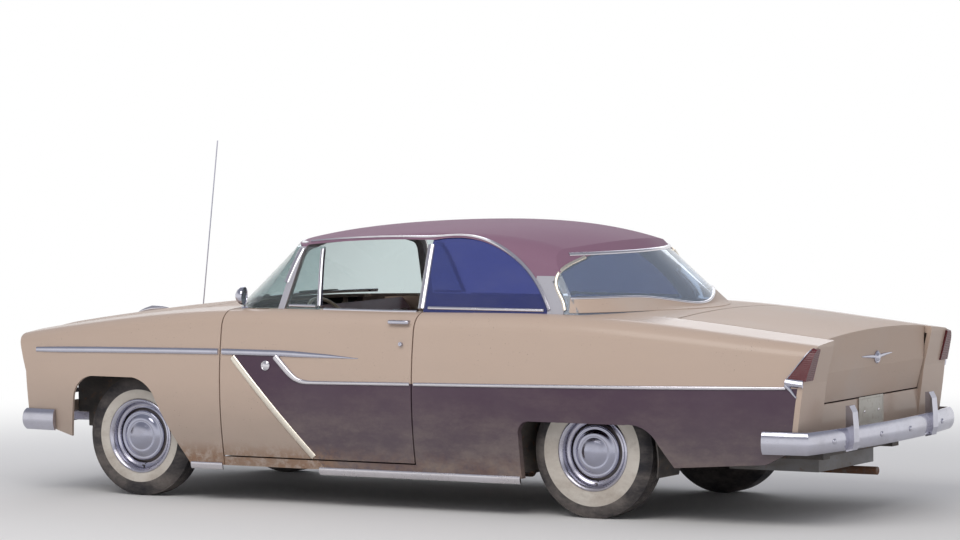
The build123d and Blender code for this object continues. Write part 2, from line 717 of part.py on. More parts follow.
def make_wheel(tag, x, y, radius, width):
    """Tyre with a ledge for the rim's lip; wheel with brake drum, well, lip and hub cap."""
    s = 1 if y > 0 else -1
    half, ledge = width * 0.47, width * 0.36
    step_r = rim_lip_r + 4
    tyre = [(bead_r, -half), (radius, -half), (radius, half), (step_r, half), (step_r, ledge)]
    tyre.append((bead_r, ledge))
    seat_r = bead_r - seat_gap
    drum = [(hub_bore_r, 44), (hub_bore_r, -34), (60, -34), (60, -62), (140, -62), (140, -12)]
    well = [(bead_r - 14, -12), (bead_r - 14, -ledge - 8), (seat_r, -ledge - 8), (seat_r, ledge + 6)]
    lip = [(rim_lip_r, ledge + 6), (rim_lip_r, ledge + 14), (bead_r - 12, ledge + 14), (bead_r - 12, 30)]
    cap = [(134, 30), (134, 48), (100, 58), (60, 58), (60, 70), (0.0, 70), (0.0, 44)]
    save(f"tyre_{tag}", turned(tyre, (x, y, radius), (0, s, 0)))
    save(f"wheel_{tag}", turned(drum + well + lip + cap, (x, y, radius), (0, s, 0)))


def make_wheels():
    for tag, x, y, radius, width in (
        ("front_left", front_axle_x, front_track / 2, front_tyre_r, front_tyre_w),
        ("front_right", front_axle_x, -front_track / 2, front_tyre_r, front_tyre_w),
        ("rear_left", rear_axle_x, rear_track / 2, rear_tyre_r, rear_tyre_w),
        ("rear_right", rear_axle_x, -rear_track / 2, rear_tyre_r, rear_tyre_w),
    ):
        make_wheel(tag, x, y, radius, width)


axle_nose_x = -940
gearbox_back_x, shaft_z = 760, 396
spring_y, spring_w, leaf_t = 540, 50, 26


def make_rear_axle():
    z = rear_tyre_r
    tube = rod((rear_axle_x, -640, z), (rear_axle_x, 640, z), 36)
    spindle = rod((rear_axle_x, -rear_track / 2 - 30, z), (rear_axle_x, rear_track / 2 + 30, z), spindle_r)
    case = rod((rear_axle_x - 90, 0, z), (rear_axle_x + 90, 0, z), 128)
    nose = rod((rear_axle_x, 0, z), (axle_nose_x, 0, z), 60)
    shaft = rod((axle_nose_x, 0, z), (gearbox_back_x, 0, shaft_z), 34)
    save("rear_axle", fused([tube, spindle, case, nose]))
    save("propeller_shaft", shaft & block(axle_nose_x, gearbox_back_x, -far, far, 0, far))
    springs = []
    for s in (-1, 1):
        y = s * spring_y
        top = [(rear_axle_x + 640, y, z - 110), (rear_axle_x, y, z - 66), (rear_axle_x - 560, y, z - 20)]
        low = [(x, y, h - leaf_t) for x, y, h in reversed(top)]
        edges = [ThreePointArc(*top), Line(top[2], low[0]), ThreePointArc(*low), Line(low[2], top[0])]
        leaf = edges_xz(edges, y, y + spring_w)
        pad = block(rear_axle_x - 50, rear_axle_x + 50, y, y + spring_w, z - 70, z - 36)
        tie_y = sorted((s * (rail_y + rail_w / 2), y + spring_w / 2))
        ends = ((top[0], 30), (top[2], 60))
        ties = [block(x - 20, x + 20, *tie_y, h - 30, h + up) for (x, y, h), up in ends]
        springs.append(fused([leaf, pad, *ties]))
    save("leaf_springs", *springs)


wheelhouse_y, wheelhouse_r = 615, 420


def make_wheelhouses():
    z, r = rear_tyre_r, wheelhouse_r
    drum = rod((rear_axle_x, wheelhouse_y, z), (rear_axle_x, 885, z), r + 8)
    hollow = rod((rear_axle_x, wheelhouse_y + 8, z), (rear_axle_x, 960, z), r)
    house = (drum - hollow) & block(-2000, 0, 612, 884, z - 120, 1200)
    house = house & body_in[quarter_t]
    house = house - block(rear_axle_x - 60, rear_axle_x + 60, 600, 640, 0, z + 150)
    save("wheelhouses", house, other_side(house))


def make_engine():
    rail_in_y = rail_y - rail_w / 2
    mounts = block(1500, 1560, -rail_in_y, rail_in_y, 380, 425)
    save("engine_block", block(engine_back_x, 1900, -270, 270, 360, 880) + mounts)
    save("gearbox", block(gearbox_back_x, engine_back_x, -110, 110, 318, 560))
    save("radiator", block(2180, 2240, -300, 300, radiator_bar_z, 860))
    save("fuel_tank", block(-2290, -1760, -340, 340, 250, boot_floor_z - floor_t))


def make_exhaust():
    y, z = exhaust_y, exhaust_z
    parts = [rod((1200, y, z), (-820, y, z), 25), rod((-240, y, z + 5), (240, y, z + 5), 70)]
    bends = [(-820, z), (-980, 560), (-1400, 560), (-1680, tail_pipe_z), (-2380, tail_pipe_z)]
    parts += [rod((x0, y, z0), (x1, y, z1), 22) for (x0, z0), (x1, z1) in zip(bends, bends[1:])]
    parts += [Pos(x, y, h) * Sphere(22) for x, h in bends[1:-1]]
    for x in (1000, -300):
        parts.append(block(x - 12, x + 12, y - 4, y + 4, z + 10, cross_bar_z))
    save("exhaust", fused(parts))


def make_cabin():
    seat_y = 660
    foot = floor_z + seat_gap
    front = plate_xz(
        [(520, 330), (520, 600), (60, 560), (-60, 980), (-160, 980), (-60, 420), (-40, foot), (500, foot)],
        -seat_y, seat_y)
    notch_half = shaft_tunnel_half + floor_t + 5
    notch = block(-760, 700, -notch_half, notch_half, 0, shaft_tunnel_z + floor_t + seat_gap)
    save("front_seat", front - notch)
    pan = 600 + seat_gap
    back = [(-420, foot), (-420, 610), (-800, 600), (-960, 1020), (-1060, 1020), (-935, pan)]
    rear = plate_xz(back + [(-897, pan), (-697, 431.5), (-557, foot)], -590, 590)
    save("rear_seat", rear - notch)
    board = [(1060, 880), (1060, 1040), (930, 1060), (880, 1000), (900, 880)]
    save("dashboard", plate_xz(board, -pillar_in_y, pillar_in_y))
    axis = Vector(*column_end) - Vector(*column_foot)
    through = Vector(*column_foot) - axis * 0.2
    column = rod(column_end, tuple(through), 22)
    save("steering_column", column & block(0, firewall_x, 0, 600, 0, 1200))
    save("steering_wheel", steering_wheel())


column_end, column_foot = (720, 370, 925), (1128, 370, 650)
steering_rim_r = 210


def steering_wheel():
    axis = (Vector(*column_end) - Vector(*column_foot)).normalized()
    hub_at = Vector(*column_end) + axis * seat_gap
    plane = Plane(origin=hub_at + axis * 20, z_dir=axis)
    corners = [polar((steering_rim_r, 0), 11, math.radians(22.5 + 45 * k)) for k in range(8)]
    rim = turned(corners, tuple(plane.origin), tuple(axis))
    hub = Plane(origin=hub_at, z_dir=axis) * Pos(0, 0, 20) * Cylinder(34, 40)
    spokes = plane * Box(400, 18, 12)
    return fused([rim, hub, spokes])


def make_front_end():
    """Nose frame around the grille, upright grille bars behind two cross bars, and the headlamps."""
    back, face, front = hood_front_x - 50, hood_front_x - 34, hood_front_x - 12
    header = block(back, face, -626, 626, 730, 900)
    surround = block(back, face, -626, 626, 440, 500)
    posts = [block(back, face, s * 610 - 16, s * 610 + 16, 440, 900) for s in (-1, 1)]
    save("nose_panel", fused([header, surround, *posts]))
    bars = [block(face, front, -618, 618, z, z + 26) for z in (540, 600, 660)]
    slats = [block(face, face + 10, y - 5, y + 5, 480, 750) for y in range(-560, 561, 70)]
    save("grille", fused(bars + slats))
    lamps = []
    for s in (-1, 1):
        rim = headlamp_r - 1
        lens = [(0.0, -30), (rim, -30), (rim, 8), (rim - 11, 20), (60, 34), (0.0, 40)]
        lamps.append(turned(lens, (fender_face_x, s * headlamp_y, headlamp_z), (1, 0, 0)))
    save("headlamps", *lamps)


bumper_side_y, bumper_end_y = 916, 940
bumper_depth, bumper_crown = 26, 18


def bumper_section(x_mid, x_end, wrap_x, z, inset, sign):
    """One level of a bumper in plan: bowed across the car and wrapped round both corners."""
    depth = bumper_depth
    side, end = bumper_side_y - inset, bumper_end_y - inset
    back, back_end = bumper_side_y - depth, bumper_end_y - depth
    out_x, in_x = x_end - sign * inset, x_end - sign * depth
    outer = ThreePointArc((out_x, -side, z), (x_mid - sign * inset, 0, z), (out_x, side, z))
    inner = ThreePointArc((in_x, back, z), (x_mid - sign * depth, 0, z), (in_x, -back, z))
    left = [(out_x, side, z), (wrap_x, end, z), (wrap_x, back_end, z), (in_x, back, z)]
    right = [(x, -y, h) for x, y, h in reversed(left)]
    ends = [Line(a, b) for line in (left, right) for a, b in zip(line, line[1:])]
    return Wire([outer, *ends[:3], inner, *ends[3:]])


def bumper(x_mid, x_end, wrap_x, z0, z1, sign):
    """Bar with a rounded face, lofted from five levels."""
    levels = [(0, 1), (0.18, 0.3), (0.5, 0), (0.82, 0.3), (1, 1)]
    places = [(z0 + t * (z1 - z0), bumper_crown * c) for t, c in levels]
    return Solid.make_loft([bumper_section(x_mid, x_end, wrap_x, z, inset, sign) for z, inset in places])


def bumper_guard(sign, y, z0, z1):
    """Upright overrider that stands on the bumper bar."""
    x = sign * car_half_length
    back, mid = x - sign * 48, (z0 + z1) / 2
    points = [(back, z0), (x - sign * 12, z0 + 8), (x, z0 + 50), (x - sign, mid), (x - sign * 8, z1 - 34)]
    points += [(x - sign * 26, z1), (back, z1)]
    return plate_xz(points, y - 32, y + 32)


def make_bumpers():
    front = [bumper(car_half_length, 2480, 2250, 360, 480, 1)]
    rear = [bumper(-car_half_length, -2512, -2248, 393, 512, -1)]
    for s in (-1, 1):
        arm = sorted((s * rail_y - 25, s * rail_y + 25))
        front += [block(2330, 2566, *arm, 380, 425), bumper_guard(1, s * 420, 350, 600)]
        rear += [block(-2564, -2380, *arm, 402, 424), bumper_guard(-1, s * 500, 385, 627)]
    save("front_bumper", fused(front))
    save("rear_bumper", fused(rear))


def make_tail_lamps():
    lamp = lamp_wedge(lamp_y, far) & body_solid(-lamp_proud)
    save("tail_lamps", lamp, other_side(lamp))


aerial_foot, aerial_tip = (2290, -662, 930), (2165, -662, 1975)


def make_aerial():
    mast = rod(aerial_foot, aerial_tip, 4)
    foot = Pos(*aerial_foot) * Cylinder(16, 60)
    save("aerial", (mast + foot) - body_out)


make_greenhouse()
make_cowl()
make_fender()
make_hood()
make_door()
make_quarter()
make_tail()
make_lid()
make_underbody()
make_rockers()
make_aprons()
make_chassis()
make_front_suspension()
make_knuckle()
make_wheels()
make_rear_axle()
make_wheelhouses()
make_engine()
make_exhaust()
make_cabin()
make_front_end()
make_bumpers()
make_tail_lamps()
make_aerial()
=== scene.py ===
import math
import bmesh
import bpy
from mathutils import Matrix, Vector
from mathutils.bvhtree import BVHTree
from mathutils.kdtree import KDTree


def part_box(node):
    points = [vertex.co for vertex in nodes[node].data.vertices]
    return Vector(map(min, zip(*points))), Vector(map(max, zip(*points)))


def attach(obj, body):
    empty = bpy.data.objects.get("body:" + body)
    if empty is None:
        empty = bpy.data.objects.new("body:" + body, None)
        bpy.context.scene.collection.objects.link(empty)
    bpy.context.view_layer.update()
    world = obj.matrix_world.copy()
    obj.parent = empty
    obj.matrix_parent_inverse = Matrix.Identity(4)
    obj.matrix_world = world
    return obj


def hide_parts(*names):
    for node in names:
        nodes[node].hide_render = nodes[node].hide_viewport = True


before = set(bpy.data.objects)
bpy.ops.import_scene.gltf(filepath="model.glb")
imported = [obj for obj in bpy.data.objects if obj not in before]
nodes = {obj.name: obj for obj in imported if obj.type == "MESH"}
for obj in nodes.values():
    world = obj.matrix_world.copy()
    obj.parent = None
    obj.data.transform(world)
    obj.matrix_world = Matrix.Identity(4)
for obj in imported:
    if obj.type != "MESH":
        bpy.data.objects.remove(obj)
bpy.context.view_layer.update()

scene = bpy.context.scene
scene.view_settings.view_transform = "Standard"
hands = ((1, "left"), (-1, "right"))
door_hands = ((1, "left_door"), (-1, "right_door"))
downward, forward, rearward = Vector((0, 0, -1)), Vector((1, 0, 0)), Vector((-1, 0, 0))
beside_car, above_car, ahead_of_car = 1.3, 1.4, 2.2

# Camera. It stands behind and to the left of the car with a very long lens, as the film was shot.
# Its place and angles come from the wheels, the sill and the roof in the picture.
camera_at = Vector((-12.4317, 21.3032, 2.5217))
camera_yaw, camera_pitch, camera_roll = math.radians(30.21), math.radians(-2.91), math.radians(-0.57)
focal_px, frame_px, sensor_mm = 4400.0, 960.0, 36.0

look = Vector((math.sin(camera_yaw) * math.cos(camera_pitch), -math.cos(camera_yaw) * math.cos(camera_pitch),
               math.sin(camera_pitch)))
level = Vector((-math.cos(camera_yaw), -math.sin(camera_yaw), 0.0))
upright = level.cross(look)
side = level * math.cos(camera_roll) + upright * math.sin(camera_roll)
top = upright * math.cos(camera_roll) - level * math.sin(camera_roll)
lens = bpy.data.cameras.new("camera")
lens.lens = focal_px / frame_px * sensor_mm
lens.sensor_width = sensor_mm
lens.clip_end = 200
camera = bpy.data.objects.new("camera", lens)
camera.matrix_world = Matrix.Translation(camera_at) @ Matrix((side, top, -look)).transposed().to_4x4()
scene.collection.objects.link(camera)
scene.camera = camera

# Studio. A pale matt floor that fades to white away from the car, one broad window of light high
# on the left, a weaker one on the right, and a pale surround that darkens overhead for the chrome.
floor_size, floor_tone, fade_from, fade_to = 120.0, 0.80, 3.2, 8.0
key_power, fill_power, surround = 430.0, 170.0, 0.50


def node(tree, kind, sockets=None, **properties):
    """Adds a shader node, sets its properties, and sets or links its inputs by name or number."""
    made = tree.nodes.new("ShaderNode" + kind)
    for key, value in properties.items():
        setattr(made, key, value)
    for key, value in (sockets or {}).items():
        if isinstance(value, bpy.types.NodeSocket):
            tree.links.new(value, made.inputs[key])
        else:
            made.inputs[key].default_value = value
    return made


def maths(tree, operation, *terms):
    """One Math node; each term is a number or another node's output."""
    return node(tree, "Math", dict(enumerate(terms)), operation=operation).outputs[0]


def times(tree, first, second):
    """The product of two numbers or outputs."""
    return maths(tree, "MULTIPLY", first, second)


def feed(shader, socket, value):
    """Links an output to one of a shader's inputs."""
    shader.id_data.links.new(value, shader.inputs[socket])


def ramp(tree, value, low, high):
    """0 at low, 1 at high and smooth between, also where low is the larger."""
    made = node(tree, "MapRange", {0: value, 1: low, 2: high}, interpolation_type="SMOOTHSTEP")
    return made.outputs[0]


def blended(tree, factor, first, second):
    """Mixes two colours by a factor; each is a tuple or an output."""
    made = tree.nodes.new("ShaderNodeMix")
    made.data_type = "RGBA"
    for place, value in ((0, factor), (6, first), (7, second)):
        if isinstance(value, bpy.types.NodeSocket):
            tree.links.new(value, made.inputs[place])
        else:
            made.inputs[place].default_value = value if place == 0 else (*value[:3], 1.0)
    return made.outputs[2]


def finish_of(name, colour, roughness, **plain):
    """Starts a material: returns it with its tree and its Principled shader, plain sockets set."""
    made = bpy.data.materials.new(name)
    made.use_nodes = True
    tree = made.node_tree
    shader = tree.nodes["Principled BSDF"]
    shader.inputs["Base Color"].default_value = (*colour, 1.0)
    shader.inputs["Roughness"].default_value = roughness
    for key, value in plain.items():
        shader.inputs[key.replace("_", " ")].default_value = value
    return made, tree, shader


def seen_by_eye(tree):
    """1 for rays from the camera, from gloss and through glass: the rays that show a background."""
    path = tree.nodes.new("ShaderNodeLightPath")
    gloss = maths(tree, "MAXIMUM", path.outputs["Is Glossy Ray"], path.outputs["Is Transmission Ray"])
    return maths(tree, "MAXIMUM", path.outputs["Is Camera Ray"], gloss)


half = floor_size / 2
floor_mesh = bpy.data.meshes.new("floor")
floor_mesh.from_pydata([(-half, -half, 0), (half, -half, 0), (half, half, 0), (-half, half, 0)], [],
                       [(0, 1, 2, 3)])
floor = bpy.data.objects.new("floor", floor_mesh)
scene.collection.objects.link(floor)
floor_paint, tree, shader = finish_of("studio_floor", (floor_tone, floor_tone, floor_tone), 0.9)
here = node(tree, "TexCoord").outputs["Object"]
away = node(tree, "VectorMath", {0: here}, operation="LENGTH").outputs["Value"]
white = node(tree, "Emission", {"Color": (1, 1, 1, 1), "Strength": 1.0})
far_off = times(tree, ramp(tree, away, fade_from, fade_to), seen_by_eye(tree))
floor_mix = node(tree, "MixShader", {0: far_off, 1: shader.outputs[0], 2: white.outputs[0]})
tree.links.new(floor_mix.outputs[0], tree.nodes["Material Output"].inputs["Surface"])
floor_mesh.materials.append(floor_paint)

world = bpy.data.worlds.new("surround")
world.use_nodes = True
scene.world = world
tree = world.node_tree
sky = tree.nodes["Background"]
heading = node(tree, "TexCoord").outputs["Generated"]
height = node(tree, "SeparateXYZ", {0: heading}).outputs["Z"]
overhead = ramp(tree, height, 0.16, 0.5)
backdrop = blended(tree, overhead, (1, 1, 1), (0.36, 0.37, 0.42))
tree.links.new(blended(tree, seen_by_eye(tree), (surround, surround, surround * 1.05), backdrop),
               sky.inputs["Color"])


def window_light(name, place, size, power, tint):
    """A broad area light that looks at the middle of the car."""
    data = bpy.data.lights.new(name, "AREA")
    data.shape, data.size, data.size_y = "RECTANGLE", size[0], size[1]
    data.energy, data.color = power, tint
    holder = bpy.data.objects.new(name, data)
    holder.location = place
    holder.rotation_euler = (Vector((0, 0, 0.6)) - Vector(place)).to_track_quat("-Z", "Y").to_euler()
    scene.collection.objects.link(holder)


window_light("key", (-1.0, 7.0, 8.0), (9.0, 5.0), key_power, (1.0, 0.97, 0.93))
window_light("fill", (4.0, -8.0, 6.0), (8.0, 5.0), fill_power, (0.93, 0.96, 1.0))

# Body panels: pressed steel, welded, leaded and bolted, sprayed in peach enamel with a plum side panel.
# The enamel has faded unevenly, holds road dust low down, and rusts along the foot of the doors.
# Its colour is also painted darker towards the ground: painted shade on the lower sides, with some road
# splash.
peach, plum = (0.560, 0.432, 0.350), (0.056, 0.022, 0.050)
spear_foot, side_from = 0.833, 0.70
slash_edge, second_rise, second_run, tail_edge = (0.9486, 0.2440), (1.0976, -0.1823), (0.0173,
        0.6961), (0.136, -2.3365)
# The third colour below is a painted shade: the enamel darkens to it towards the ground, partly for shade and
# partly for road splash.
rust_colour, dust_colour, low_shade_colour = (0.205, 0.085, 0.032), (0.36, 0.30, 0.25), (0.16, 0.145, 0.14)


def group_of(name, inputs, outputs):
    """A shader node group with named float inputs (name, value) and named outputs (name, kind)."""
    made = bpy.data.node_groups.new(name, "ShaderNodeTree")
    for key, value in inputs:
        socket = made.interface.new_socket(key, in_out="INPUT", socket_type="NodeSocketFloat")
        socket.default_value = value
    for key, kind in outputs:
        made.interface.new_socket(key, in_out="OUTPUT", socket_type=kind)
    return made, made.nodes.new("NodeGroupInput"), made.nodes.new("NodeGroupOutput")


def effect(tree, group, **values):
    """Places a node group in a material with its own values and returns its outputs."""
    made = tree.nodes.new("ShaderNodeGroup")
    made.node_tree = group
    for key, value in values.items():
        made.inputs[key.replace("_", " ")].default_value = value
    return made.outputs


def noise_of(tree, scale, detail=3.0, rough=0.55, stretch=None):
    """Noise from object coordinates, which a stretch may draw out along an axis."""
    where = node(tree, "TexCoord").outputs["Object"]
    if stretch:
        where = node(tree, "Mapping", {0: where, "Scale": stretch}).outputs[0]
    made = node(tree, "TexNoise", {"Vector": where, "Scale": scale, "Detail": detail, "Roughness": rough})
    return made.outputs[0]


road_dust, entry, exit_ = group_of("road_dust", [("Height", 0.5), ("Amount", 0.5)],
                                   [("Mask", "NodeSocketFloat")])
where = node(road_dust, "TexCoord").outputs["Object"]
up = node(road_dust, "SeparateXYZ", {0: where}).outputs["Z"]
low = maths(road_dust, "SUBTRACT", 1.0, maths(road_dust, "DIVIDE", up, entry.outputs["Height"]))
cloud = noise_of(road_dust, 4.0, 6.0, 0.65, (1.0, 1.0, 2.2))
splash = noise_of(road_dust, 60.0, 2.0)
thick = times(road_dust, ramp(road_dust, low, 0.0, 1.0), ramp(road_dust, cloud, 0.30, 0.72))
thick = times(road_dust, thick, maths(road_dust, "ADD", 0.65, times(road_dust, splash, 0.7)))
film = times(road_dust, ramp(road_dust, cloud, 0.42, 0.8), 0.10)
dusty = times(road_dust, maths(road_dust, "ADD", thick, film), entry.outputs["Amount"])
road_dust.links.new(maths(road_dust, "MINIMUM", dusty, 1.0), exit_.inputs["Mask"])

enamel_age, entry, exit_ = group_of("enamel_age", [("Peel", 0.5)],
                                    [("Fade", "NodeSocketFloat"), ("Chips", "NodeSocketFloat"),
                                     ("Height", "NodeSocketFloat")])
enamel_age.links.new(noise_of(enamel_age, 1.6, 5.0, 0.6), exit_.inputs["Fade"])
specks = noise_of(enamel_age, 150.0, 1.0)
places = noise_of(enamel_age, 2.4, 2.0)
chips = times(enamel_age, ramp(enamel_age, specks, 0.73, 0.76), ramp(enamel_age, places, 0.48, 0.62))
enamel_age.links.new(chips, exit_.inputs["Chips"])
peel = times(enamel_age, noise_of(enamel_age, 320.0, 1.0), entry.outputs["Peel"])
dents = times(enamel_age, noise_of(enamel_age, 3.4, 3.0, 0.4), 7.0)
enamel_age.links.new(maths(enamel_age, "ADD", peel, dents), exit_.inputs["Height"])

rust_bloom, entry, exit_ = group_of("rust_bloom", [("Spread", 0.5)],
                                    [("Mask", "NodeSocketFloat"), ("Tone", "NodeSocketFloat")])
scab = noise_of(rust_bloom, 22.0, 8.0, 0.7)
edge = maths(rust_bloom, "SUBTRACT", 1.0, entry.outputs["Spread"])
bloom = times(rust_bloom, maths(rust_bloom, "SUBTRACT", scab, edge), 6.0)
rust_bloom.links.new(maths(rust_bloom, "MINIMUM", maths(rust_bloom, "MAXIMUM", bloom, 0.0), 1.0),
                     exit_.inputs["Mask"])
rust_bloom.links.new(noise_of(rust_bloom, 90.0, 4.0), exit_.inputs["Tone"])


def dust_on(tree, height, amount):
    """Road dust, thickest at the ground and only a thin film above a height in metres."""
    return effect(tree, road_dust, Height=height, Amount=amount)["Mask"]


def bumped(tree, shader, height, strength, distance):
    """Feeds a height into a Bump node and that into the shader's normal."""
    made = node(tree, "Bump", {"Height": height, "Strength": strength, "Distance": distance})
    tree.links.new(made.outputs[0], shader.inputs["Normal"])


def enamelled(name, colour, dust_height=0.75, dust=0.55, rust=None, coat=0.35, rough=0.32):
    """Sprayed enamel over steel: faded, chipped, dusted, painted darker towards the ground as shade and road
    splash, and, where a rust mask is given, rusted.
    """
    made, tree, shader = finish_of(name, (0.5, 0.5, 0.5), 0.3, Coat_Roughness=0.12, Specular_IOR_Level=0.35)
    base = colour(tree) if callable(colour) else colour
    age = effect(tree, enamel_age, Peel=0.5)
    if callable(colour):
        pale = blended(tree, 0.035, base, (0.62, 0.58, 0.56))
    else:
        pale = tuple(c * 0.72 + 0.16 for c in base)
    shade = blended(tree, ramp(tree, age["Fade"], 0.35, 0.75), base, pale)
    shade = blended(tree, times(tree, age["Chips"], 0.8), shade, (0.16, 0.10, 0.08))
    if rust:
        scabs = effect(tree, rust_bloom, Spread=0.62)
        rusty = blended(tree, scabs["Tone"], rust_colour, (0.42, 0.20, 0.075))
        shade = blended(tree, times(tree, scabs["Mask"], rust(tree)), shade, rusty)
    # Painted shade: below 0.72 m the colour darkens towards the ground, for shade on the lower sides and some
    # road splash.
    height = node(tree, "SeparateXYZ", {0: node(tree, "NewGeometry").outputs["Position"]}).outputs["Z"]
    low_shade = times(tree, ramp(tree, height, 0.72, 0.30), 0.34)
    shade = blended(tree, low_shade, shade, low_shade_colour)
    grime = dust_on(tree, dust_height, dust)
    feed(shader, "Base Color", blended(tree, grime, shade, dust_colour))
    clean = maths(tree, "SUBTRACT", 1.0, grime)
    feed(shader, "Coat Weight", times(tree, clean, coat))
    dull = maths(tree, "ADD", times(tree, grime, 0.5), times(tree, age["Fade"], 0.16))
    feed(shader, "Roughness", maths(tree, "ADD", dull, rough))
    bumped(tree, shader, age["Height"], 0.30, 0.0006)
    return made


def axes_of(tree):
    """Object coordinates of the surface: x, size of y, z and their outputs."""
    parts = node(tree, "SeparateXYZ", {0: node(tree, "TexCoord").outputs["Object"]}).outputs
    return parts["X"], maths(tree, "ABSOLUTE", parts["Y"]), parts["Z"]


def slanted(tree, x, z, slope, limit):
    """1 where x is behind a slanting line x = limit + slope * z in side view."""
    return maths(tree, "LESS_THAN", maths(tree, "SUBTRACT", x, times(tree, z, slope)), limit)


def two_tone(tree):
    """Plum below the spear, behind the slash strip and ahead of or below the second moulding; else peach.
    Each slanting edge is a slope with a limit, in side view."""
    x, out, z = axes_of(tree)
    under_spear = maths(tree, "LESS_THAN", z, spear_foot)
    behind_slash = slanted(tree, x, z, *slash_edge)
    ahead = maths(tree, "SUBTRACT", 1.0, slanted(tree, x, z, *second_rise))
    below = maths(tree, "LESS_THAN", maths(tree, "ADD", z, times(tree, x, second_run[0])), second_run[1])
    outer = maths(tree, "GREATER_THAN", out, side_from)
    side_only = maths(tree, "GREATER_THAN", maths(tree, "ADD", x, times(tree, z, tail_edge[0])), tail_edge[1])
    area = times(tree, times(tree, under_spear, behind_slash), maths(tree, "MAXIMUM", ahead, below))
    area = times(tree, area, times(tree, outer, side_only))
    return blended(tree, area, peach, plum)


def door_foot(tree):
    """Rust along the foot of the doors and the rockers, strongest ahead of the slash moulding."""
    x, out, z = axes_of(tree)
    low = ramp(tree, z, 0.36, 0.23)
    ahead = maths(tree, "ADD", 0.35, times(tree, ramp(tree, x, 0.30, 0.45), 0.65))
    lip = times(tree, maths(tree, "GREATER_THAN", out, side_from), maths(tree, "LESS_THAN", x, 1.5))
    return times(tree, times(tree, low, ahead), lip)


def dress(material, *names):
    """Gives CAD nodes a material in every slot of their own mesh."""
    for name in names:
        slots = nodes[name].material_slots
        for slot in slots:
            slot.material = material


body_enamel = enamelled("body_enamel", two_tone, rust=door_foot)
peach_enamel = enamelled("peach_enamel", peach, dust=0.3, coat=0.08, rough=0.5)
dress(body_enamel, "front_fender_left", "front_fender_right", "door_left", "door_right", "quarter_panel_left",
      "quarter_panel_right", "rocker_panels", "tail_panel", "nose_panel")
dress(peach_enamel, "hood", "boot_lid", "cowl_panel", "rear_shelf_panel")

# Roof: a separate pressing in faded maroon enamel, with a woven headlining inside.
# Below a step on the rear pillar, and on the windscreen pillars, bright stainless sheet covers it.
maroon, headlining_tone, pillar_tone = (0.262, 0.142, 0.212), (0.33, 0.30, 0.30), (0.45, 0.45, 0.50)
rear_step_z, rear_step_x, screen_pillar_z, screen_pillar_x = 1.285, -0.80, 1.418, 0.705


def roof_colours(tree):
    """Maroon outside, bright on the pillars, cloth colour on faces that look down or inward."""
    x, _, z = axes_of(tree)
    foot = times(tree, maths(tree, "LESS_THAN", z, rear_step_z), maths(tree, "LESS_THAN", x, rear_step_x))
    front = times(tree, maths(tree, "LESS_THAN", z, screen_pillar_z),
                  maths(tree, "GREATER_THAN", x, screen_pillar_x))
    facing = node(tree, "SeparateXYZ", {0: node(tree, "TexCoord").outputs["Normal"]}).outputs["Z"]
    inside = maths(tree, "LESS_THAN", facing, -0.05)
    return blended(tree, inside, blended(tree, maths(tree, "MAXIMUM", foot, front), maroon, pillar_tone),
                   headlining_tone)


roof_enamel = enamelled("roof_enamel", roof_colours, dust=0.2, coat=0.04, rough=0.62)
dress(roof_enamel, "roof_panel")

# Chrome and stainless: plated steel and die castings, polished, now finely pitted and hazed.
# Road film gathers low down, so the plating is dull there.
plate_colour = (0.55, 0.55, 0.63)
plating_age, entry, exit_ = group_of("plating_age", [("Pits", 0.5)],
                                     [("Haze", "NodeSocketFloat"), ("Pit", "NodeSocketFloat")])
hazy = noise_of(plating_age, 9.0, 6.0, 0.65)
plating_age.links.new(ramp(plating_age, hazy, 0.36, 0.78), exit_.inputs["Haze"])
pit = times(plating_age, ramp(plating_age, noise_of(plating_age, 240.0, 2.0), 0.66, 0.74),
            entry.outputs["Pits"])
plating_age.links.new(pit, exit_.inputs["Pit"])


def plated(name, colour, rough=0.10, pits=0.5, dust=0.35, dust_height=0.7):
    """Chromium plate with haze, pits and a film of dust."""
    made, tree, shader = finish_of(name, colour, rough, Metallic=1.0)
    age = effect(tree, plating_age, Pits=pits)
    shade = blended(tree, times(tree, age["Haze"], 0.35), colour, tuple(c * 0.72 for c in colour))
    shade = blended(tree, times(tree, age["Pit"], 0.7), shade, (0.20, 0.13, 0.09))
    grime = dust_on(tree, dust_height, dust)
    feed(shader, "Base Color", blended(tree, grime, shade, dust_colour))
    rougher = maths(tree, "ADD", times(tree, age["Haze"], 0.14), times(tree, grime, 0.5))
    feed(shader, "Roughness", maths(tree, "ADD", rougher, rough))
    bumped(tree, shader, maths(tree, "SUBTRACT", 1.0, age["Pit"]), 0.25, 0.0005)
    return made


chrome = plated("chrome_plate", plate_colour)
bright_trim = plated("bright_trim", (0.70, 0.68, 0.72), rough=0.16, pits=0.3, dust=0.2)
cream_trim = plated("slash_trim", (0.82, 0.76, 0.66), rough=0.24, pits=0.2, dust=0.15)
dress(chrome, "front_bumper", "rear_bumper", "grille", "aerial")

# Side mouldings: a chromed spear from the headlamp to a point on the door, a broad slash strip down the
# door, and a second moulding that parts the plum from the peach back to the tail lamp.
# Rolled stainless strip, clipped on over the panels; each stops at the seams and moves with its panel.
spear_line = [(2.395, 0.818), (1.911, 0.830), (1.40, 0.838), (1.065, 0.842), (0.70, 0.842), (0.40, 0.834),
              (0.203, 0.826)]
spear_taper = [(2.40, 0.8), (2.2, 1.0), (0.62, 1.0), (0.40, 0.62), (0.203, 0.10)]
slash_line = [(1.022, 0.812), (0.510, 0.272)]
second_line = [(0.738, 0.822), (0.640, 0.728), (0.610, 0.703), (0.575, 0.690), (0.535, 0.686), (-0.60, 0.704),
               (-1.40, 0.718), (-2.02, 0.731), (-2.372, 0.738)]
second_taper = [(0.74, 1.9), (0.66, 1.9), (0.60, 1.5), (0.50, 1.0), (-2.10, 1.0), (-2.375, 0.8)]
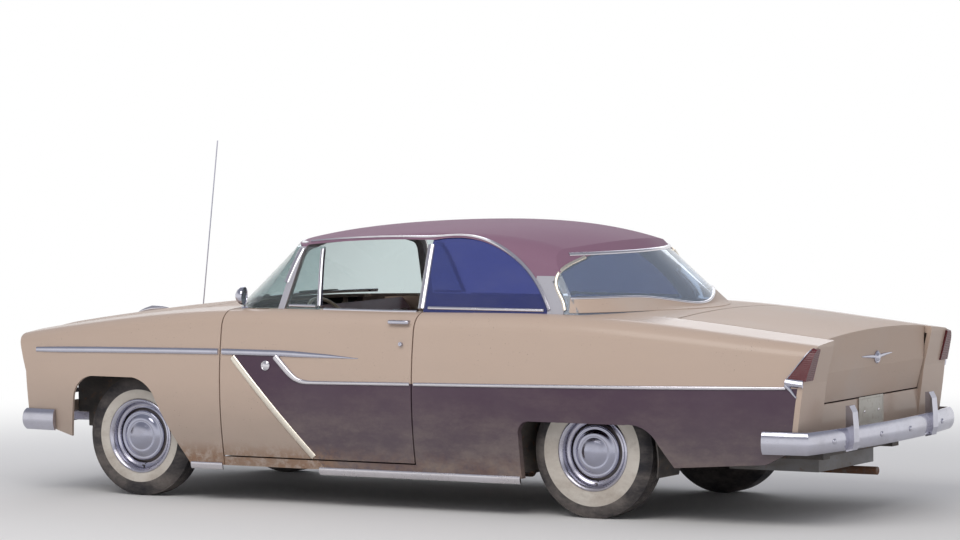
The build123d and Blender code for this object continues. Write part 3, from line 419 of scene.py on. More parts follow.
sill_line, sill_front_line = [(0.480, 0.2125), (-0.30, 0.2125), (-0.790, 0.2125)], [(1.330, 0.2125),
        (1.120, 0.2125)]
seam_places, seam_half = (1.106, -0.139), 0.010


def shape_of(name, part, body, material, sharp=40.0):
    """Makes a piece from (verts, faces), smooth up to an angle, and sets its body and finish."""
    verts, faces = part
    mesh = bpy.data.meshes.new(name)
    mesh.from_pydata([tuple(v) for v in verts], [], faces)
    mesh.materials.append(material)
    tidy = bmesh.new()
    tidy.from_mesh(mesh)
    bmesh.ops.recalc_face_normals(tidy, faces=tidy.faces)
    tidy.to_mesh(mesh)
    tidy.free()
    mesh.shade_smooth()
    mesh.set_sharp_from_angle(angle=math.radians(sharp))
    made = bpy.data.objects.new(name, mesh)
    scene.collection.objects.link(made)
    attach(made, body)
    return made


def swept(path, outs, section, scales=None, closed=False):
    """Carries a closed section, given as (across, out) pairs, along a path; outs point away from the body."""
    verts, faces, count = [], [], len(section)
    for k, point in enumerate(path):
        ahead = path[(k + 1) % len(path)] if closed else path[min(k + 1, len(path) - 1)]
        behind = path[k - 1] if closed or k else path[0]
        along = (ahead - behind).normalized()
        out = (outs[k] - along * outs[k].dot(along)).normalized()
        across = along.cross(out)
        scale = scales[k] if scales else 1.0
        verts += [point + across * u * scale + out * v * (scale if v > 0 else 1.0) for u, v in section]
    rings = len(path) if closed else len(path) - 1
    for k in range(rings):
        a, b = k * count, (k + 1) % len(path) * count
        faces += [(a + i, a + (i + 1) % count, b + (i + 1) % count, b + i) for i in range(count)]
    if not closed:
        faces += [tuple(range(count - 1, -1, -1)), tuple(range(len(verts) - count, len(verts)))]
    return verts, faces


def skin_of(*names):
    """Ray-cast tree of the outer surfaces of some CAD nodes."""
    verts, faces = [], []
    for name in names:
        mesh = nodes[name].data
        first = len(verts)
        verts += [v.co.copy() for v in mesh.vertices]
        faces += [tuple(first + i for i in p.vertices) for p in mesh.polygons]
    return BVHTree.FromPolygons(verts, faces)


left_skin = skin_of("front_fender_left", "door_left", "quarter_panel_left", "rocker_panels")


def divided(points, step):
    """A line of 2-D or 3-D points, divided evenly at about a step."""
    line = [Vector(p) for p in points]
    out = [line[0]]
    for a, b in zip(line, line[1:]):
        pieces = max(1, round((b - a).length / step))
        out += [a.lerp(b, k / pieces) for k in range(1, pieces + 1)]
    return out


def rounded(line, passes):
    """Smooths a line of vectors and keeps its ends."""
    for _ in range(passes if len(line) > 2 else 0):
        line = [line[0]] + [(a + b * 2 + c) / 4 for a, b, c in zip(line, line[1:], line[2:])] + [line[-1]]
    return line


def cast_line(skin, line, start, aim, reach=0.55):
    """Drops a line on a surface by rays; gives the points hit and the outward directions there."""
    points, outs = [], []
    for p in line:
        where, out, _, _ = skin.ray_cast(start(p), aim)
        if where is None or (where - start(p)).length > reach:
            continue
        points.append(where)
        outs.append(out if out.dot(aim) < 0 else -out)
    return rounded(points, 3), [o.normalized() for o in rounded(outs, 6)]


def side_line(points, step=0.02, skin=None, reach=0.55):
    """A line given in side view (x, z), laid on the car's left side."""
    line = rounded(divided(points, step), 2)
    return cast_line(skin or left_skin, line, lambda p: Vector((p[0], beside_car, p[1])),
                     Vector((0, -1, 0)), reach)


def at_place(table, x):
    """Value at x from (x, value) pairs that run down in x."""
    for (x0, v0), (x1, v1) in zip(table, table[1:]):
        if x0 >= x >= x1:
            return v0 + (v1 - v0) * (x0 - x) / (x0 - x1)
    return table[0][1] if x > table[0][0] else table[-1][1]


def arch(width, height, foot=-0.004):
    """Section of a rolled strip: two short walls and a rounded crown."""
    half, crown = width / 2, [(0.5, 0.30), (0.44, 0.62), (0.30, 0.88), (0.10, 1.0), (-0.10, 1.0),
                              (-0.30, 0.88), (-0.44, 0.62), (-0.5, 0.30)]
    return [(half, foot)] + [(u * width, v * height) for u, v in crown] + [(-half, foot)]


def turned_over(vectors):
    """The vectors mirrored from the left side to the right."""
    return [Vector((v.x, -v.y, v.z)) for v in vectors]


def panel_body(x, hand):
    """The body that carries a side moulding at x: the door between its seams, else the shell."""
    door = seam_places[1] < x < seam_places[0]
    return ("left_door" if hand > 0 else "right_door") if door else "body_shell"


def side_moulding(name, line, width, height, material, taper=None, drop=0.0, carrier=None):
    """A strip along both sides of the car, cut at the door's seams unless one carrier holds it all."""
    points, outs = side_line(line)
    points = [p + Vector((0, 0, -drop)) for p in points]
    runs, places = [[]], [] if carrier else sorted(seam_places, reverse=True)
    for k, p in enumerate(points):
        near = any(abs(p.x - s) < seam_half for s in places)
        crossed = runs[-1] and any((runs[-1][-1][0].x - s) * (p.x - s) < 0 for s in places)
        if (near or crossed) and runs[-1]:
            runs.append([])
        if not near:
            runs[-1].append((p, outs[k]))
    for hand, side_name in hands:
        for number, run in enumerate(r for r in runs if len(r) > 1):
            path, away = [p for p, _ in run], [o for _, o in run]
            scales = [at_place(taper, p.x) for p in path] if taper else None
            if hand < 0:
                path, away = turned_over(path), turned_over(away)
            body = carrier or panel_body(path[len(path) // 2].x, hand)
            strip = swept(path, away, arch(width, height), scales)
            shape_of(f"{name}_{side_name}_{number}", strip, body, material, 30)


side_moulding("spear", spear_line, 0.034, 0.011, chrome, spear_taper)
side_moulding("slash", slash_line, 0.036, 0.009, cream_trim)
side_moulding("second_moulding", second_line, 0.020, 0.009, bright_trim, second_taper)
side_moulding("sill_strip", sill_line, 0.044, 0.010, bright_trim, drop=0.016, carrier="body_shell")
side_moulding("sill_front", sill_front_line, 0.040, 0.008, bright_trim, drop=0.014, carrier="body_shell")


def lathe(profile, centre, axis, segments=64, wave=None):
    """Turns (radius, height) pairs about an axis; a radius of 0 closes on one point.
    A wave moves the height of a ring's point from its ring number and its turn."""
    axis = Vector(axis).normalized()
    first = axis.orthogonal().normalized()
    second = axis.cross(first)
    verts, rings = [], []
    for number, (radius, height) in enumerate(profile):
        if radius == 0:
            rings.append([len(verts)])
            verts.append(Vector(centre) + axis * height)
            continue
        ring = []
        for k in range(segments):
            turn = 2 * math.pi * k / segments
            rise = height + (wave(number, k) if wave else 0.0)
            ring.append(len(verts))
            verts.append(Vector(centre) + (first * math.cos(turn) + second * math.sin(turn)) * radius
                         + axis * rise)
        rings.append(ring)
    faces = []
    for low, high in zip(rings, rings[1:]):
        for k in range(segments if len(low) + len(high) > 2 else 0):
            n = (k + 1) % segments
            if len(low) == 1:
                faces.append((low[0], high[k], high[n]))
            elif len(high) == 1:
                faces.append((low[k], low[n], high[0]))
            else:
                faces.append((low[k], low[n], high[n], high[k]))
    return verts, faces


# Medallion: a blank round badge on the plum of each door.
# It is a die-cast and plated disc with a raised rim, and it follows the slope of the panel.
medallion_x, medallion_z, medallion_r = 0.800, 0.772, 0.028
medallion_profile = [(0.0, -0.004), (1.0, -0.004), (1.0, 0.004), (0.97, 0.007), (0.86, 0.0085),
                     (0.78, 0.007), (0.74, 0.0055), (0.5, 0.0085), (0.25, 0.0102), (0.0, 0.0108)]
badge_at, badge_out = side_line([(medallion_x + 0.01, medallion_z), (medallion_x - 0.01, medallion_z)], 0.005)
for hand, body in door_hands:
    place, out = badge_at[2], badge_out[2]
    centre, axis = (place.x, place.y * hand, place.z), (out.x, out.y * hand, out.z)
    shape_of("medallion_" + body, lathe([(r * medallion_r, h) for r, h in medallion_profile], centre, axis),
             body, bright_trim)

# Glass: laminated and toughened panes, faintly green, held in rubber. The door glass is wound down.
# The rear side windows are coloured deep blue as the film shows them, a painted reflection of the sky; dust
# dulls the lower edges.
def glazed(name, colour, clear, dust=0.5):
    """Safety glass with a film of dust that shows in its roughness."""
    made, tree, shader = finish_of(name, colour, 0.02, IOR=1.45, Transmission_Weight=clear)
    grime = dust_on(tree, 1.6, dust)
    smear = ramp(tree, noise_of(tree, 7.0, 5.0, 0.7), 0.45, 0.85)
    hazed = maths(tree, "ADD", times(tree, grime, 0.16), times(tree, smear, 0.05))
    feed(shader, "Roughness", maths(tree, "ADD", hazed, 0.01))
    film = times(tree, grime, 0.4)
    feed(shader, "Base Color", blended(tree, film, colour, (0.62, 0.60, 0.58)))
    return made


clear_glass = glazed("screen_glass", (0.66, 0.76, 0.76), 0.95)
back_glass = glazed("backlight_tint", (0.66, 0.78, 0.94), 0.85)
# Painted reflection: the deep blue colour of the rear side glass stands for the sky that it reflects.
sky_reflection_glass = glazed("sky_reflection_side_glass", (0.075, 0.095, 0.33), 0.55)
dress(clear_glass, "windscreen_glass", "vent_window_left", "vent_window_right")
dress(back_glass, "backlight_glass")
dress(sky_reflection_glass, "quarter_glass")

# Brightwork round the windows: rolled stainless drip rail, pillar covers, window frames and reveal mouldings.
drip_arcs = (((0.715, 1.428), (0.300, 1.460), (-0.112, 1.466)),
             ((-0.112, 1.466), (-0.618, 1.386), (-0.905, 1.100)))
pillar_line = [(0.812, 1.100), (0.735, 1.405)]
vent_post_line = [(0.538, 1.098), (0.600, 1.405)]
divider_line = [(-0.126, 1.098), (-0.104, 1.440)]
roof_skin = skin_of("roof_panel")
glass_skin = skin_of("quarter_glass", "vent_window_left")
screen_skin = skin_of("windscreen_glass", "backlight_glass", "roof_panel", "rear_shelf_panel", "cowl_panel")
rubber, tree, shader = finish_of("weather_rubber", (0.022, 0.021, 0.023), 0.62)
grime = dust_on(tree, 1.4, 0.5)
feed(shader, "Base Color", blended(tree, grime, (0.022, 0.021, 0.023), dust_colour))
bumped(tree, shader, noise_of(tree, 420.0, 2.0), 0.2, 0.0006)


def both_sides(name, points, outs, section, bodies, material, scales=None):
    """Sweeps one strip on the left and its mirror image on the right."""
    for (hand, word), body in zip(hands, bodies):
        path, away = (points, outs) if hand > 0 else (turned_over(points), turned_over(outs))
        shape_of(f"{name}_{word}", swept(path, away, section, scales), body, material, 30)


shell, doors = ("body_shell", "body_shell"), ("left_door", "right_door")


def arc_beside(a, b, c, away, steps=24):
    """Points of the arc through three points in side view, moved outward from its middle."""
    ax, az, bx, bz, cx, cz = *a, *b, *c
    d = 2 * (ax * (bz - cz) + bx * (cz - az) + cx * (az - bz))
    aa, bb, cc = ax * ax + az * az, bx * bx + bz * bz, cx * cx + cz * cz
    mx = (aa * (bz - cz) + bb * (cz - az) + cc * (az - bz)) / d
    mz = (aa * (cx - bx) + bb * (ax - cx) + cc * (bx - ax)) / d
    radius = math.hypot(ax - mx, az - mz) + away
    start, end = math.atan2(az - mz, ax - mx), math.atan2(cz - mz, cx - mx)
    return [(mx + radius * math.cos(start + (end - start) * k / steps),
             mz + radius * math.sin(start + (end - start) * k / steps)) for k in range(steps + 1)]


drip_line = arc_beside(*drip_arcs[0], 0.013) + arc_beside(*drip_arcs[1], 0.013)[1:]
path, outs = side_line(drip_line, 0.03, roof_skin, 0.85)
gutter = [(0.010, -0.004), (0.011, 0.006), (0.006, 0.013), (-0.001, 0.009), (-0.008, 0.006), (-0.010, -0.004)]
both_sides("drip_rail", path, outs, gutter, shell, bright_trim)
path, outs = side_line(pillar_line, 0.03, roof_skin, 0.85)
both_sides("pillar_cover", path, outs, arch(0.036, 0.009), shell, bright_trim)
post_sections = (("vent_post", vent_post_line, 0.035, 0.026, doors),
                 ("window_divider", divider_line, -0.050, 0.040, shell))
for name, line, onto_glass, width, bodies in post_sections:
    path, outs = side_line([(x + onto_glass, z) for x, z in line], 0.03, glass_skin, 0.85)
    path = [p - Vector((onto_glass, 0, 0)) for p in path]
    both_sides(name, path, outs, arch(width, 0.010, -0.010), bodies, bright_trim)
path, outs = side_line([(0.735, 1.098), (0.56, 1.098)], 0.03, glass_skin)
both_sides("vent_sill", path, outs, arch(0.016, 0.008, -0.010), doors, bright_trim)
path, outs = side_line([(-0.14, 1.104), (-0.88, 1.104)], 0.03, glass_skin)
both_sides("quarter_glass_sill", path, outs, arch(0.018, 0.008, -0.010), shell, bright_trim)


def crossing_line(z, half_width, ahead, skin=screen_skin, pitch=0.04):
    """A level line across the front (ahead 1) or the back (ahead -1) of the greenhouse."""
    steps = round(2 * half_width / pitch)
    line = [Vector((0, half_width - 2 * half_width * k / steps, z)) for k in range(steps + 1)]
    return cast_line(skin, line, lambda p: Vector((ahead * ahead_of_car, p.y, p.z)), Vector((-ahead, 0, 0)),
                     ahead_of_car)


for name, z, half_width, ahead, width in (("screen_header", 1.436, 0.58, 1, 0.024),
                                          ("screen_foot", 1.100, 0.70, 1, 0.022),
                                          ("backlight_header", 1.396, 0.58, -1, 0.024)):
    path, outs = crossing_line(z, half_width, ahead)
    shape_of(name, swept(path, outs, arch(width, 0.007)), "body_shell", bright_trim, 30)

# Backlight foot: a leaded steel fillet that sweeps up from the deck over the lower edge of the glass,
# low in the middle and tall at the sides, with a bright reveal moulding along its top.
foot_low, foot_mid, foot_tall, foot_turns, foot_rows = 1.094, 1.112, 1.168, 70, 5
fillet_front, fillet_back, reveal_path, reveal_outs = [], [], [], []
for k in range(foot_turns + 1):
    turn = math.radians(110 + 140 * k / foot_turns)
    away = Vector((math.cos(turn), math.sin(turn), 0))
    rise = min(abs(math.sin(turn)) / 0.75, 1.0)
    crest = foot_mid + (foot_tall - foot_mid) * rise * rise * (3 - 2 * rise)
    for row in range(foot_rows):
        z = foot_low + (crest - foot_low) * row / (foot_rows - 1)
        where, out, _, _ = screen_skin.ray_cast(Vector((-0.75, 0, z)) + away * 2, -away)
        out = out if out.dot(away) > 0 else -out
        fillet_front.append(where + out * 0.0030)
        fillet_back.append(where - out * 0.0020)
    reveal_path.append(where)
    reveal_outs.append(out)
count = len(fillet_front)
verts, faces = fillet_front + fillet_back, []
for k in range(foot_turns):
    for row in range(foot_rows - 1):
        a, b = k * foot_rows + row, (k + 1) * foot_rows + row
        faces += [(a, b, b + 1, a + 1), (count + a, count + a + 1, count + b + 1, count + b)]
    for row in (0, foot_rows - 1):
        a, b = k * foot_rows + row, (k + 1) * foot_rows + row
        faces.append((a, count + a, count + b, b))
for k in (0, foot_turns):
    for row in range(foot_rows - 1):
        a = k * foot_rows + row
        faces.append((a, a + 1, count + a + 1, count + a))
shape_of("backlight_fillet", (verts, faces), "body_shell", peach_enamel, 50)
reveal_outs = [o.normalized() for o in rounded(reveal_outs, 4)]
shape_of("backlight_foot", swept(rounded(reveal_path, 2), reveal_outs, arch(0.018, 0.009)), "body_shell",
         bright_trim, 30)
backlight_edge = [(-1.004, 1.105), (-1.000, 1.138), (-0.955, 1.190), (-0.915, 1.235), (-0.908, 1.262),
                  (-0.925, 1.320), (-0.965, 1.366), (-1.000, 1.392)]
path, outs = side_line(backlight_edge, 0.02, screen_skin, 0.85)
both_sides("backlight_edge", path, outs, arch(0.022, 0.008), shell, cream_trim)

# Belt moulding: the bright capping along the top of each door that the glass winds down behind.
# It is rolled stainless strip, laid on the CAD door by rays from above.
cap_line = [Vector((x / 100, 0.806, 1.3)) for x in range(50, -13, -3)]
cap_skin = skin_of("door_left")
path, outs = cast_line(cap_skin, cap_line, lambda p: p, downward)
both_sides("belt_capping", path, outs, arch(0.022, 0.010), doors, bright_trim)

# Door handles: die-cast grips on two posts with a push button, and a key lock below, all plated.
# The grip is the CAD door's own bar, sheathed here in chrome.
handle_x, handle_y, handle_z = -0.048, 0.917, 1.030


def block_of(low, high, bevel=0.0, cuts=3):
    """Vertices and faces of a bar between two corners with rounded edges."""
    raw = bmesh.new()
    bmesh.ops.create_cube(raw, size=1.0)
    size = [h - l for l, h in zip(low, high)]
    middle = [(h + l) / 2 for l, h in zip(low, high)]
    for v in raw.verts:
        v.co = Vector([m + c * s for m, c, s in zip(middle, v.co, size)])
    if bevel:
        bmesh.ops.bevel(raw, geom=raw.edges[:], offset=bevel, segments=cuts, profile=0.5, affect="EDGES")
    verts = [v.co.copy() for v in raw.verts]
    index = {v: i for i, v in enumerate(raw.verts)}
    faces = [tuple(index[v] for v in f.verts) for f in raw.faces]
    raw.free()
    return verts, faces


def gathered(*parts):
    """Joins several (verts, faces) pairs into one."""
    verts, faces = [], []
    for some, more in parts:
        first = len(verts)
        verts += list(some)
        faces += [tuple(first + i for i in f) for f in more]
    return verts, faces


def flipped(part, hand):
    """The part as it is for the left side, or mirrored for the right."""
    verts, faces = part
    return ([Vector((v[0], v[1] * hand, v[2])) for v in verts], faces)


for hand, body in door_hands:
    grip = block_of((handle_x - 0.066, handle_y - 0.002, handle_z - 0.011),
                    (handle_x + 0.066, handle_y + 0.014, handle_z + 0.011), 0.007)
    posts = [block_of((x - 0.011, handle_y - 0.040, handle_z - 0.010),
                      (x + 0.011, handle_y + 0.006, handle_z + 0.010), 0.005) for x in (handle_x - 0.050,
            handle_x + 0.050)]
    button = lathe([(0.0, 0.0), (0.009, 0.0), (0.009, 0.008), (0.006, 0.010), (0.0, 0.0105)],
                   (handle_x - 0.030, handle_y - 0.012, handle_z - 0.002), (0, 1, 0), 24)
    lock = lathe([(0.012, -0.012), (0.012, 0.004), (0.010, 0.006), (0.004, 0.006), (0.003, 0.003),
                  (0.0, 0.003)], (handle_x - 0.020, 0.938, 0.912), (0, 1, 0.12), 24)
    shape_of("door_handle_" + body, flipped(gathered(grip, *posts, button, lock), hand), body, chrome)

# Hood ornament and deck lock: a slim cast spear on a plinth along the hood's middle, and a round
# lock escutcheon in a winged bar on the boot lid. Both are chromed die castings.
hood_skin, lid_skin = skin_of("hood"), skin_of("boot_lid")
ornament_sections = [(2.295, 0.004, 0.006, 0.004), (2.280, 0.011, 0.016, 0.008), (2.245, 0.017, 0.030, 0.014),
                     (2.200, 0.021, 0.038, 0.020), (2.160, 0.016, 0.032, 0.016), (2.120, 0.010, 0.022, 0.010),
                     (2.085, 0.003, 0.008, 0.003)]
verts, faces, turn_count = [], [], 20
for x, wide, tall, lift in ornament_sections:
    foot = hood_skin.ray_cast(Vector((x, 0, above_car)), downward)[0]
    for k in range(turn_count):
        turn = 2 * math.pi * k / turn_count
        rise = max(math.sin(turn), -0.6) * tall / 2 + lift / 2
        verts.append(Vector((x, math.cos(turn) * wide, foot.z + rise)))
for ring in range(len(ornament_sections) - 1):
    a, b = ring * turn_count, (ring + 1) * turn_count
    faces += [(a + i, a + (i + 1) % turn_count, b + (i + 1) % turn_count, b + i) for i in range(turn_count)]
faces += [tuple(range(turn_count)), tuple(range(len(verts) - 1, len(verts) - turn_count - 1, -1))]
shape_of("hood_ornament", (verts, faces), "hood", bright_trim, 50)

lock_place, lock_out, _, _ = lid_skin.ray_cast(Vector((-2.9, 0, 0.846)), forward)
lock_out = lock_out if lock_out.x < 0 else -lock_out
disc = lathe([(0.034, -0.004), (0.034, 0.006), (0.028, 0.011), (0.022, 0.009), (0.016, 0.016),
              (0.010, 0.018), (0.0, 0.018)], lock_place, lock_out, 40)
wings = []
for hand in (1, -1):
    line = [Vector((0, hand * y, lock_place.z + 0.012 * math.sin(y * 9.0))) for y in (0.03, 0.07, 0.11,
            0.15, 0.19)]
    path, outs = cast_line(lid_skin, line, lambda p: Vector((-2.9, p.y, p.z)), forward, 2.0)
    wings.append(swept(path, outs, arch(0.020, 0.009), [1.0, 0.9, 0.7, 0.5, 0.2][:len(path)]))
shape_of("deck_lock", gathered(disc, *wings), "boot_lid", chrome)

# Mirror and wipers: a round-backed chrome mirror on a stalk beside the windscreen, two wiper arms
# of stainless rod and rubber blades that lie along the foot of the screen.
def tube(points, radius, sides=10, closed=False):
    """A round bar along a path of points."""
    path = [Vector(p) for p in points]
    section = [(radius * math.cos(2 * math.pi * k / sides), radius * math.sin(2 * math.pi * k / sides))
               for k in range(sides)]
    along = path[1] - path[0]
    out = along.orthogonal().normalized()
    outs = []
    for k in range(len(path)):
        ahead = path[(k + 1) % len(path)] if closed else path[min(k + 1, len(path) - 1)]
        behind = path[k - 1] if closed or k else path[0]
        along = (ahead - behind).normalized()
        out = (out - along * out.dot(along)).normalized()
        outs.append(out.copy())
    return swept(path, outs, section, None, closed)


cowl_skin = skin_of("cowl_panel")
for hand, word in hands:
    if hand > 0:
        foot = cowl_skin.ray_cast(Vector((1.045, 0.770, above_car)), downward)[0]
        head = foot + Vector((-0.010, 0.028, 0.070))
        shield = lathe([(0.0, 0.046), (0.016, 0.044), (0.034, 0.034), (0.048, 0.016), (0.052, 0.0),
                        (0.050, -0.006), (0.046, -0.006), (0.045, -0.002), (0.0, -0.002)], head,
                       (0.96, 0.22, 0.05), 40)
        stalk = tube([foot + Vector((0, 0, -0.004)), foot + Vector((0, 0.004, 0.03)),
                      head + Vector((0.02, 0, -0.01))], 0.006)
        base = lathe([(0.020, -0.006), (0.020, 0.003), (0.014, 0.008), (0.0, 0.010)], foot, (0, 0, 1), 28)
        shape_of("outside_mirror", gathered(shield, stalk, base), "body_shell", chrome)
    screen_line = [Vector((0, hand * y, 1.104 + 0.010 * (0.56 - y))) for y in (0.16, 0.24, 0.32, 0.40, 0.48)]
    path, outs = cast_line(screen_skin, screen_line, lambda p: Vector((ahead_of_car, p.y, p.z)), rearward,
                           ahead_of_car)
    blade = swept([p + o * 0.009 for p, o in zip(path, outs)], outs,
                  [(0.003, -0.009), (0.004, 0.002), (-0.004, 0.002), (-0.003, -0.009)])
    shape_of("wiper_blade_" + word, blade, "body_shell", rubber)
    pivot = cowl_skin.ray_cast(Vector((1.325, hand * 0.20, above_car)), downward)[0]
    pivot = pivot or Vector((1.325, hand * 0.20, 1.09))
    grip_at = path[2] + outs[2] * 0.014
    arm = tube([pivot + Vector((0, 0, 0.016)), pivot.lerp(grip_at, 0.4) + Vector((0.010, 0, 0.012)),
                grip_at], 0.003, 8)
    boss = lathe([(0.013, -0.006), (0.013, 0.018), (0.008, 0.026), (0.0, 0.027)], pivot, (0, 0, 1), 24)
    shape_of("wiper_arm_" + word, gathered(arm, boss), "body_shell", bright_trim)

# Tyres: bias-ply covers with a wide white sidewall band and a ribbed tread with zigzag grooves.
# Moulded black rubber, greyed by road dust; the white band is yellowed and scuffed.
tyre_black, white_band = (0.026, 0.025, 0.030), (0.66, 0.62, 0.56)
axle_places = {"front": (1.733, 0.7475, 0.340, 0.162, 0.250), "rear": (-1.188, 0.743, 0.356, 0.178, 0.285)}
tread_rubber, tree, shader = finish_of("tread_rubber", tyre_black, 0.72, Specular_IOR_Level=0.3)
grime = dust_on(tree, 1.3, 0.75)
feed(shader, "Base Color", blended(tree, grime, tyre_black, (0.20, 0.175, 0.16)))
bumped(tree, shader, noise_of(tree, 500.0, 2.0), 0.25, 0.0006)
white_rubber, tree, shader = finish_of("white_sidewall", white_band, 0.55, Specular_IOR_Level=0.3)
grime = dust_on(tree, 1.0, 0.6)
scuffs = ramp(tree, noise_of(tree, 14.0, 7.0, 0.75), 0.50, 0.72)
scuffed = blended(tree, times(tree, scuffs, 0.45), white_band, (0.36, 0.32, 0.28))
feed(shader, "Base Color", blended(tree, grime, scuffed, dust_colour))
bumped(tree, shader, noise_of(tree, 260.0, 3.0), 0.2, 0.0006)


def tyre_profile(radius, width):
    """Section of the cover from the outer bead over the tread to the inner bead."""
    half = width * 0.47
    side = [(0.199, 0.36), (0.206, 0.40), (0.211, 0.425), (0.236, 0.475), (0.262, 0.497),
            (radius - 0.066, 0.497), (radius - 0.042, 0.470), (radius - 0.022, 0.420),
            (radius - 0.010, 0.375), (radius - 0.004, 0.345)]
    outer = [(r, w * width) for r, w in side]
    outer[2:2] = [(0.2085, 0.405 * width)]
    tread, grooves = [], (0.27, 0.14, 0.0, -0.14, -0.27)
    for place in grooves:
        y = place * width
        tread += [(radius, y + 0.012), (radius, y + 0.0042), (radius - 0.007, y + 0.0026),
                  (radius - 0.007, y - 0.0026), (radius, y - 0.0042), (radius, y - 0.012)]
    inner = [(r, -min(w, half / width)) for r, w in side]
    outer = [(r, min(y, half + 0.003)) for r, y in outer]
    return outer + tread + [(r, y * width) for r, y in reversed(inner)]


for end, (axle_x, track_y, radius, width, band) in axle_places.items():
    profile = tyre_profile(radius, width)
    for hand, word in hands:
        body = f"{end}_{word}_wheel"
        tread_from = next(k for k, (r, _) in enumerate(profile) if r == radius)
        tread_to = len(profile) - next(k for k, (r, _) in enumerate(reversed(profile)) if r == radius)

        def zigzag(number, k):
            """Shifts every other point of the tread rings sideways."""
            return (0.0022 if k % 2 else -0.0022) if tread_from < number < tread_to - 1 else 0.0

        centre = Vector((axle_x, track_y * hand, radius))
        cover = lathe(profile, centre, (0, hand, 0), 168, zigzag)
        tyre = shape_of(f"tyre_cover_{end}_{word}", cover, body, tread_rubber, 32)
        tyre.data.materials.append(white_rubber)
        for face in tyre.data.polygons:
            arm = face.center - centre
            if 0.2085 < math.hypot(arm.x, arm.z) < band and arm.y * hand > 0:
                face.material_index = 1
        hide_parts(f"tyre_{end}_{word}")

# Wheels: pressed-steel discs painted dark, a stainless trim ring clipped in the rim, and a large domed
# hub cap with stepped rings. The cap is spun and chromed; a dark gap shows between cap and ring.
wheel_paint = enamelled("wheel_enamel", (0.075, 0.060, 0.075), dust=0.5, coat=0.2)
cap_plate = plated("hub_cap_plate", (0.42, 0.43, 0.53), rough=0.08, pits=0.3, dust=0.25, dust_height=0.9)
ring_plate = plated("trim_ring_plate", (0.56, 0.56, 0.66), rough=0.14, pits=0.3, dust=0.3, dust_height=0.9)
for end, (axle_x, track_y, radius, width, _) in axle_places.items():
    ledge = 0.36 * width
    rim = [(0.130, -0.045), (0.182, -0.030), (0.188, -ledge - 0.004), (0.206, -ledge - 0.008),
           (0.209, -ledge - 0.004), (0.200, -ledge + 0.004), (0.196, 0.0), (0.199, ledge + 0.006),
           (0.209, ledge + 0.007), (0.209, ledge + 0.011), (0.199, ledge + 0.012), (0.189, ledge - 0.004),
           (0.181, 0.024), (0.168, 0.010), (0.150, 0.016), (0.120, 0.030), (0.100, 0.024), (0.070, 0.014),
           (0.0, 0.014)]
    trim_ring = [(0.208, ledge + 0.010), (0.210, ledge + 0.013), (0.207, ledge + 0.0165),
                 (0.200, ledge + 0.018), (0.192, ledge + 0.012), (0.184, ledge), (0.176, 0.036),
                 (0.165, 0.030), (0.157, 0.033), (0.154, 0.028)]
    cap = [(0.137, 0.020), (0.141, 0.034), (0.141, 0.040), (0.137, 0.045), (0.130, 0.0465), (0.124, 0.044),
           (0.119, 0.0445), (0.110, 0.052), (0.096, 0.0575), (0.086, 0.0585), (0.080, 0.0565),
           (0.075, 0.0580), (0.062, 0.0655), (0.044, 0.0715), (0.024, 0.0750), (0.0, 0.0760)]
    for hand, word in hands:
        body, centre, axis = f"{end}_{word}_wheel", (axle_x, track_y * hand, radius), (0, hand, 0)
        drum = [(0.0, -0.034), (0.060, -0.034), (0.062, -0.060), (0.136, -0.062), (0.140, -0.058),
                (0.140, -0.012), (0.130, -0.008)]
        pressing = gathered(lathe(rim, centre, axis, 96), lathe(drum, centre, axis, 72))
        disc = shape_of(f"rim_{end}_{word}", pressing, body, wheel_paint)
        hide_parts(f"wheel_{end}_{word}")
        shape_of(f"trim_ring_{end}_{word}", lathe(trim_ring, centre, axis, 96), body, ring_plate)
        shape_of(f"hub_cap_{end}_{word}", lathe(cap, centre, axis, 96), body, cap_plate)
        valve_at = Vector(centre) + Vector((0.0, hand * 0.030, -0.172))
        valve = lathe([(0.004, -0.02), (0.004, 0.016), (0.003, 0.022), (0.0, 0.023)], valve_at,
                      (0, hand, 0.15), 12)
        shape_of(f"valve_{end}_{word}", valve, body, rubber)

# Headlamps: a fluted glass lens over a silvered bowl, held by a chromed rim under the brow of each fender.
# Flutes run out from the middle of the pressed lens; a bulb shield hangs behind.
lamp_place = (2.478, 0.745, 0.792)
lamp_glass, tree, shader = finish_of("lamp_glass", (0.93, 0.94, 0.93), 0.03, IOR=1.45,
                                     Transmission_Weight=0.96)
silver, tree, shader = finish_of("lamp_silver", (0.82, 0.82, 0.80), 0.10, Metallic=1.0)
tarnish = ramp(tree, noise_of(tree, 30.0, 4.0), 0.4, 0.8)
feed(shader, "Roughness", maths(tree, "ADD", 0.06, times(tree, tarnish, 0.2)))


def flutes(number, k):
    """Ribs that run out from the middle over the front of the lens."""
    return 0.0012 * math.cos(k * math.pi / 2) if 2 <= number <= 5 else 0.0


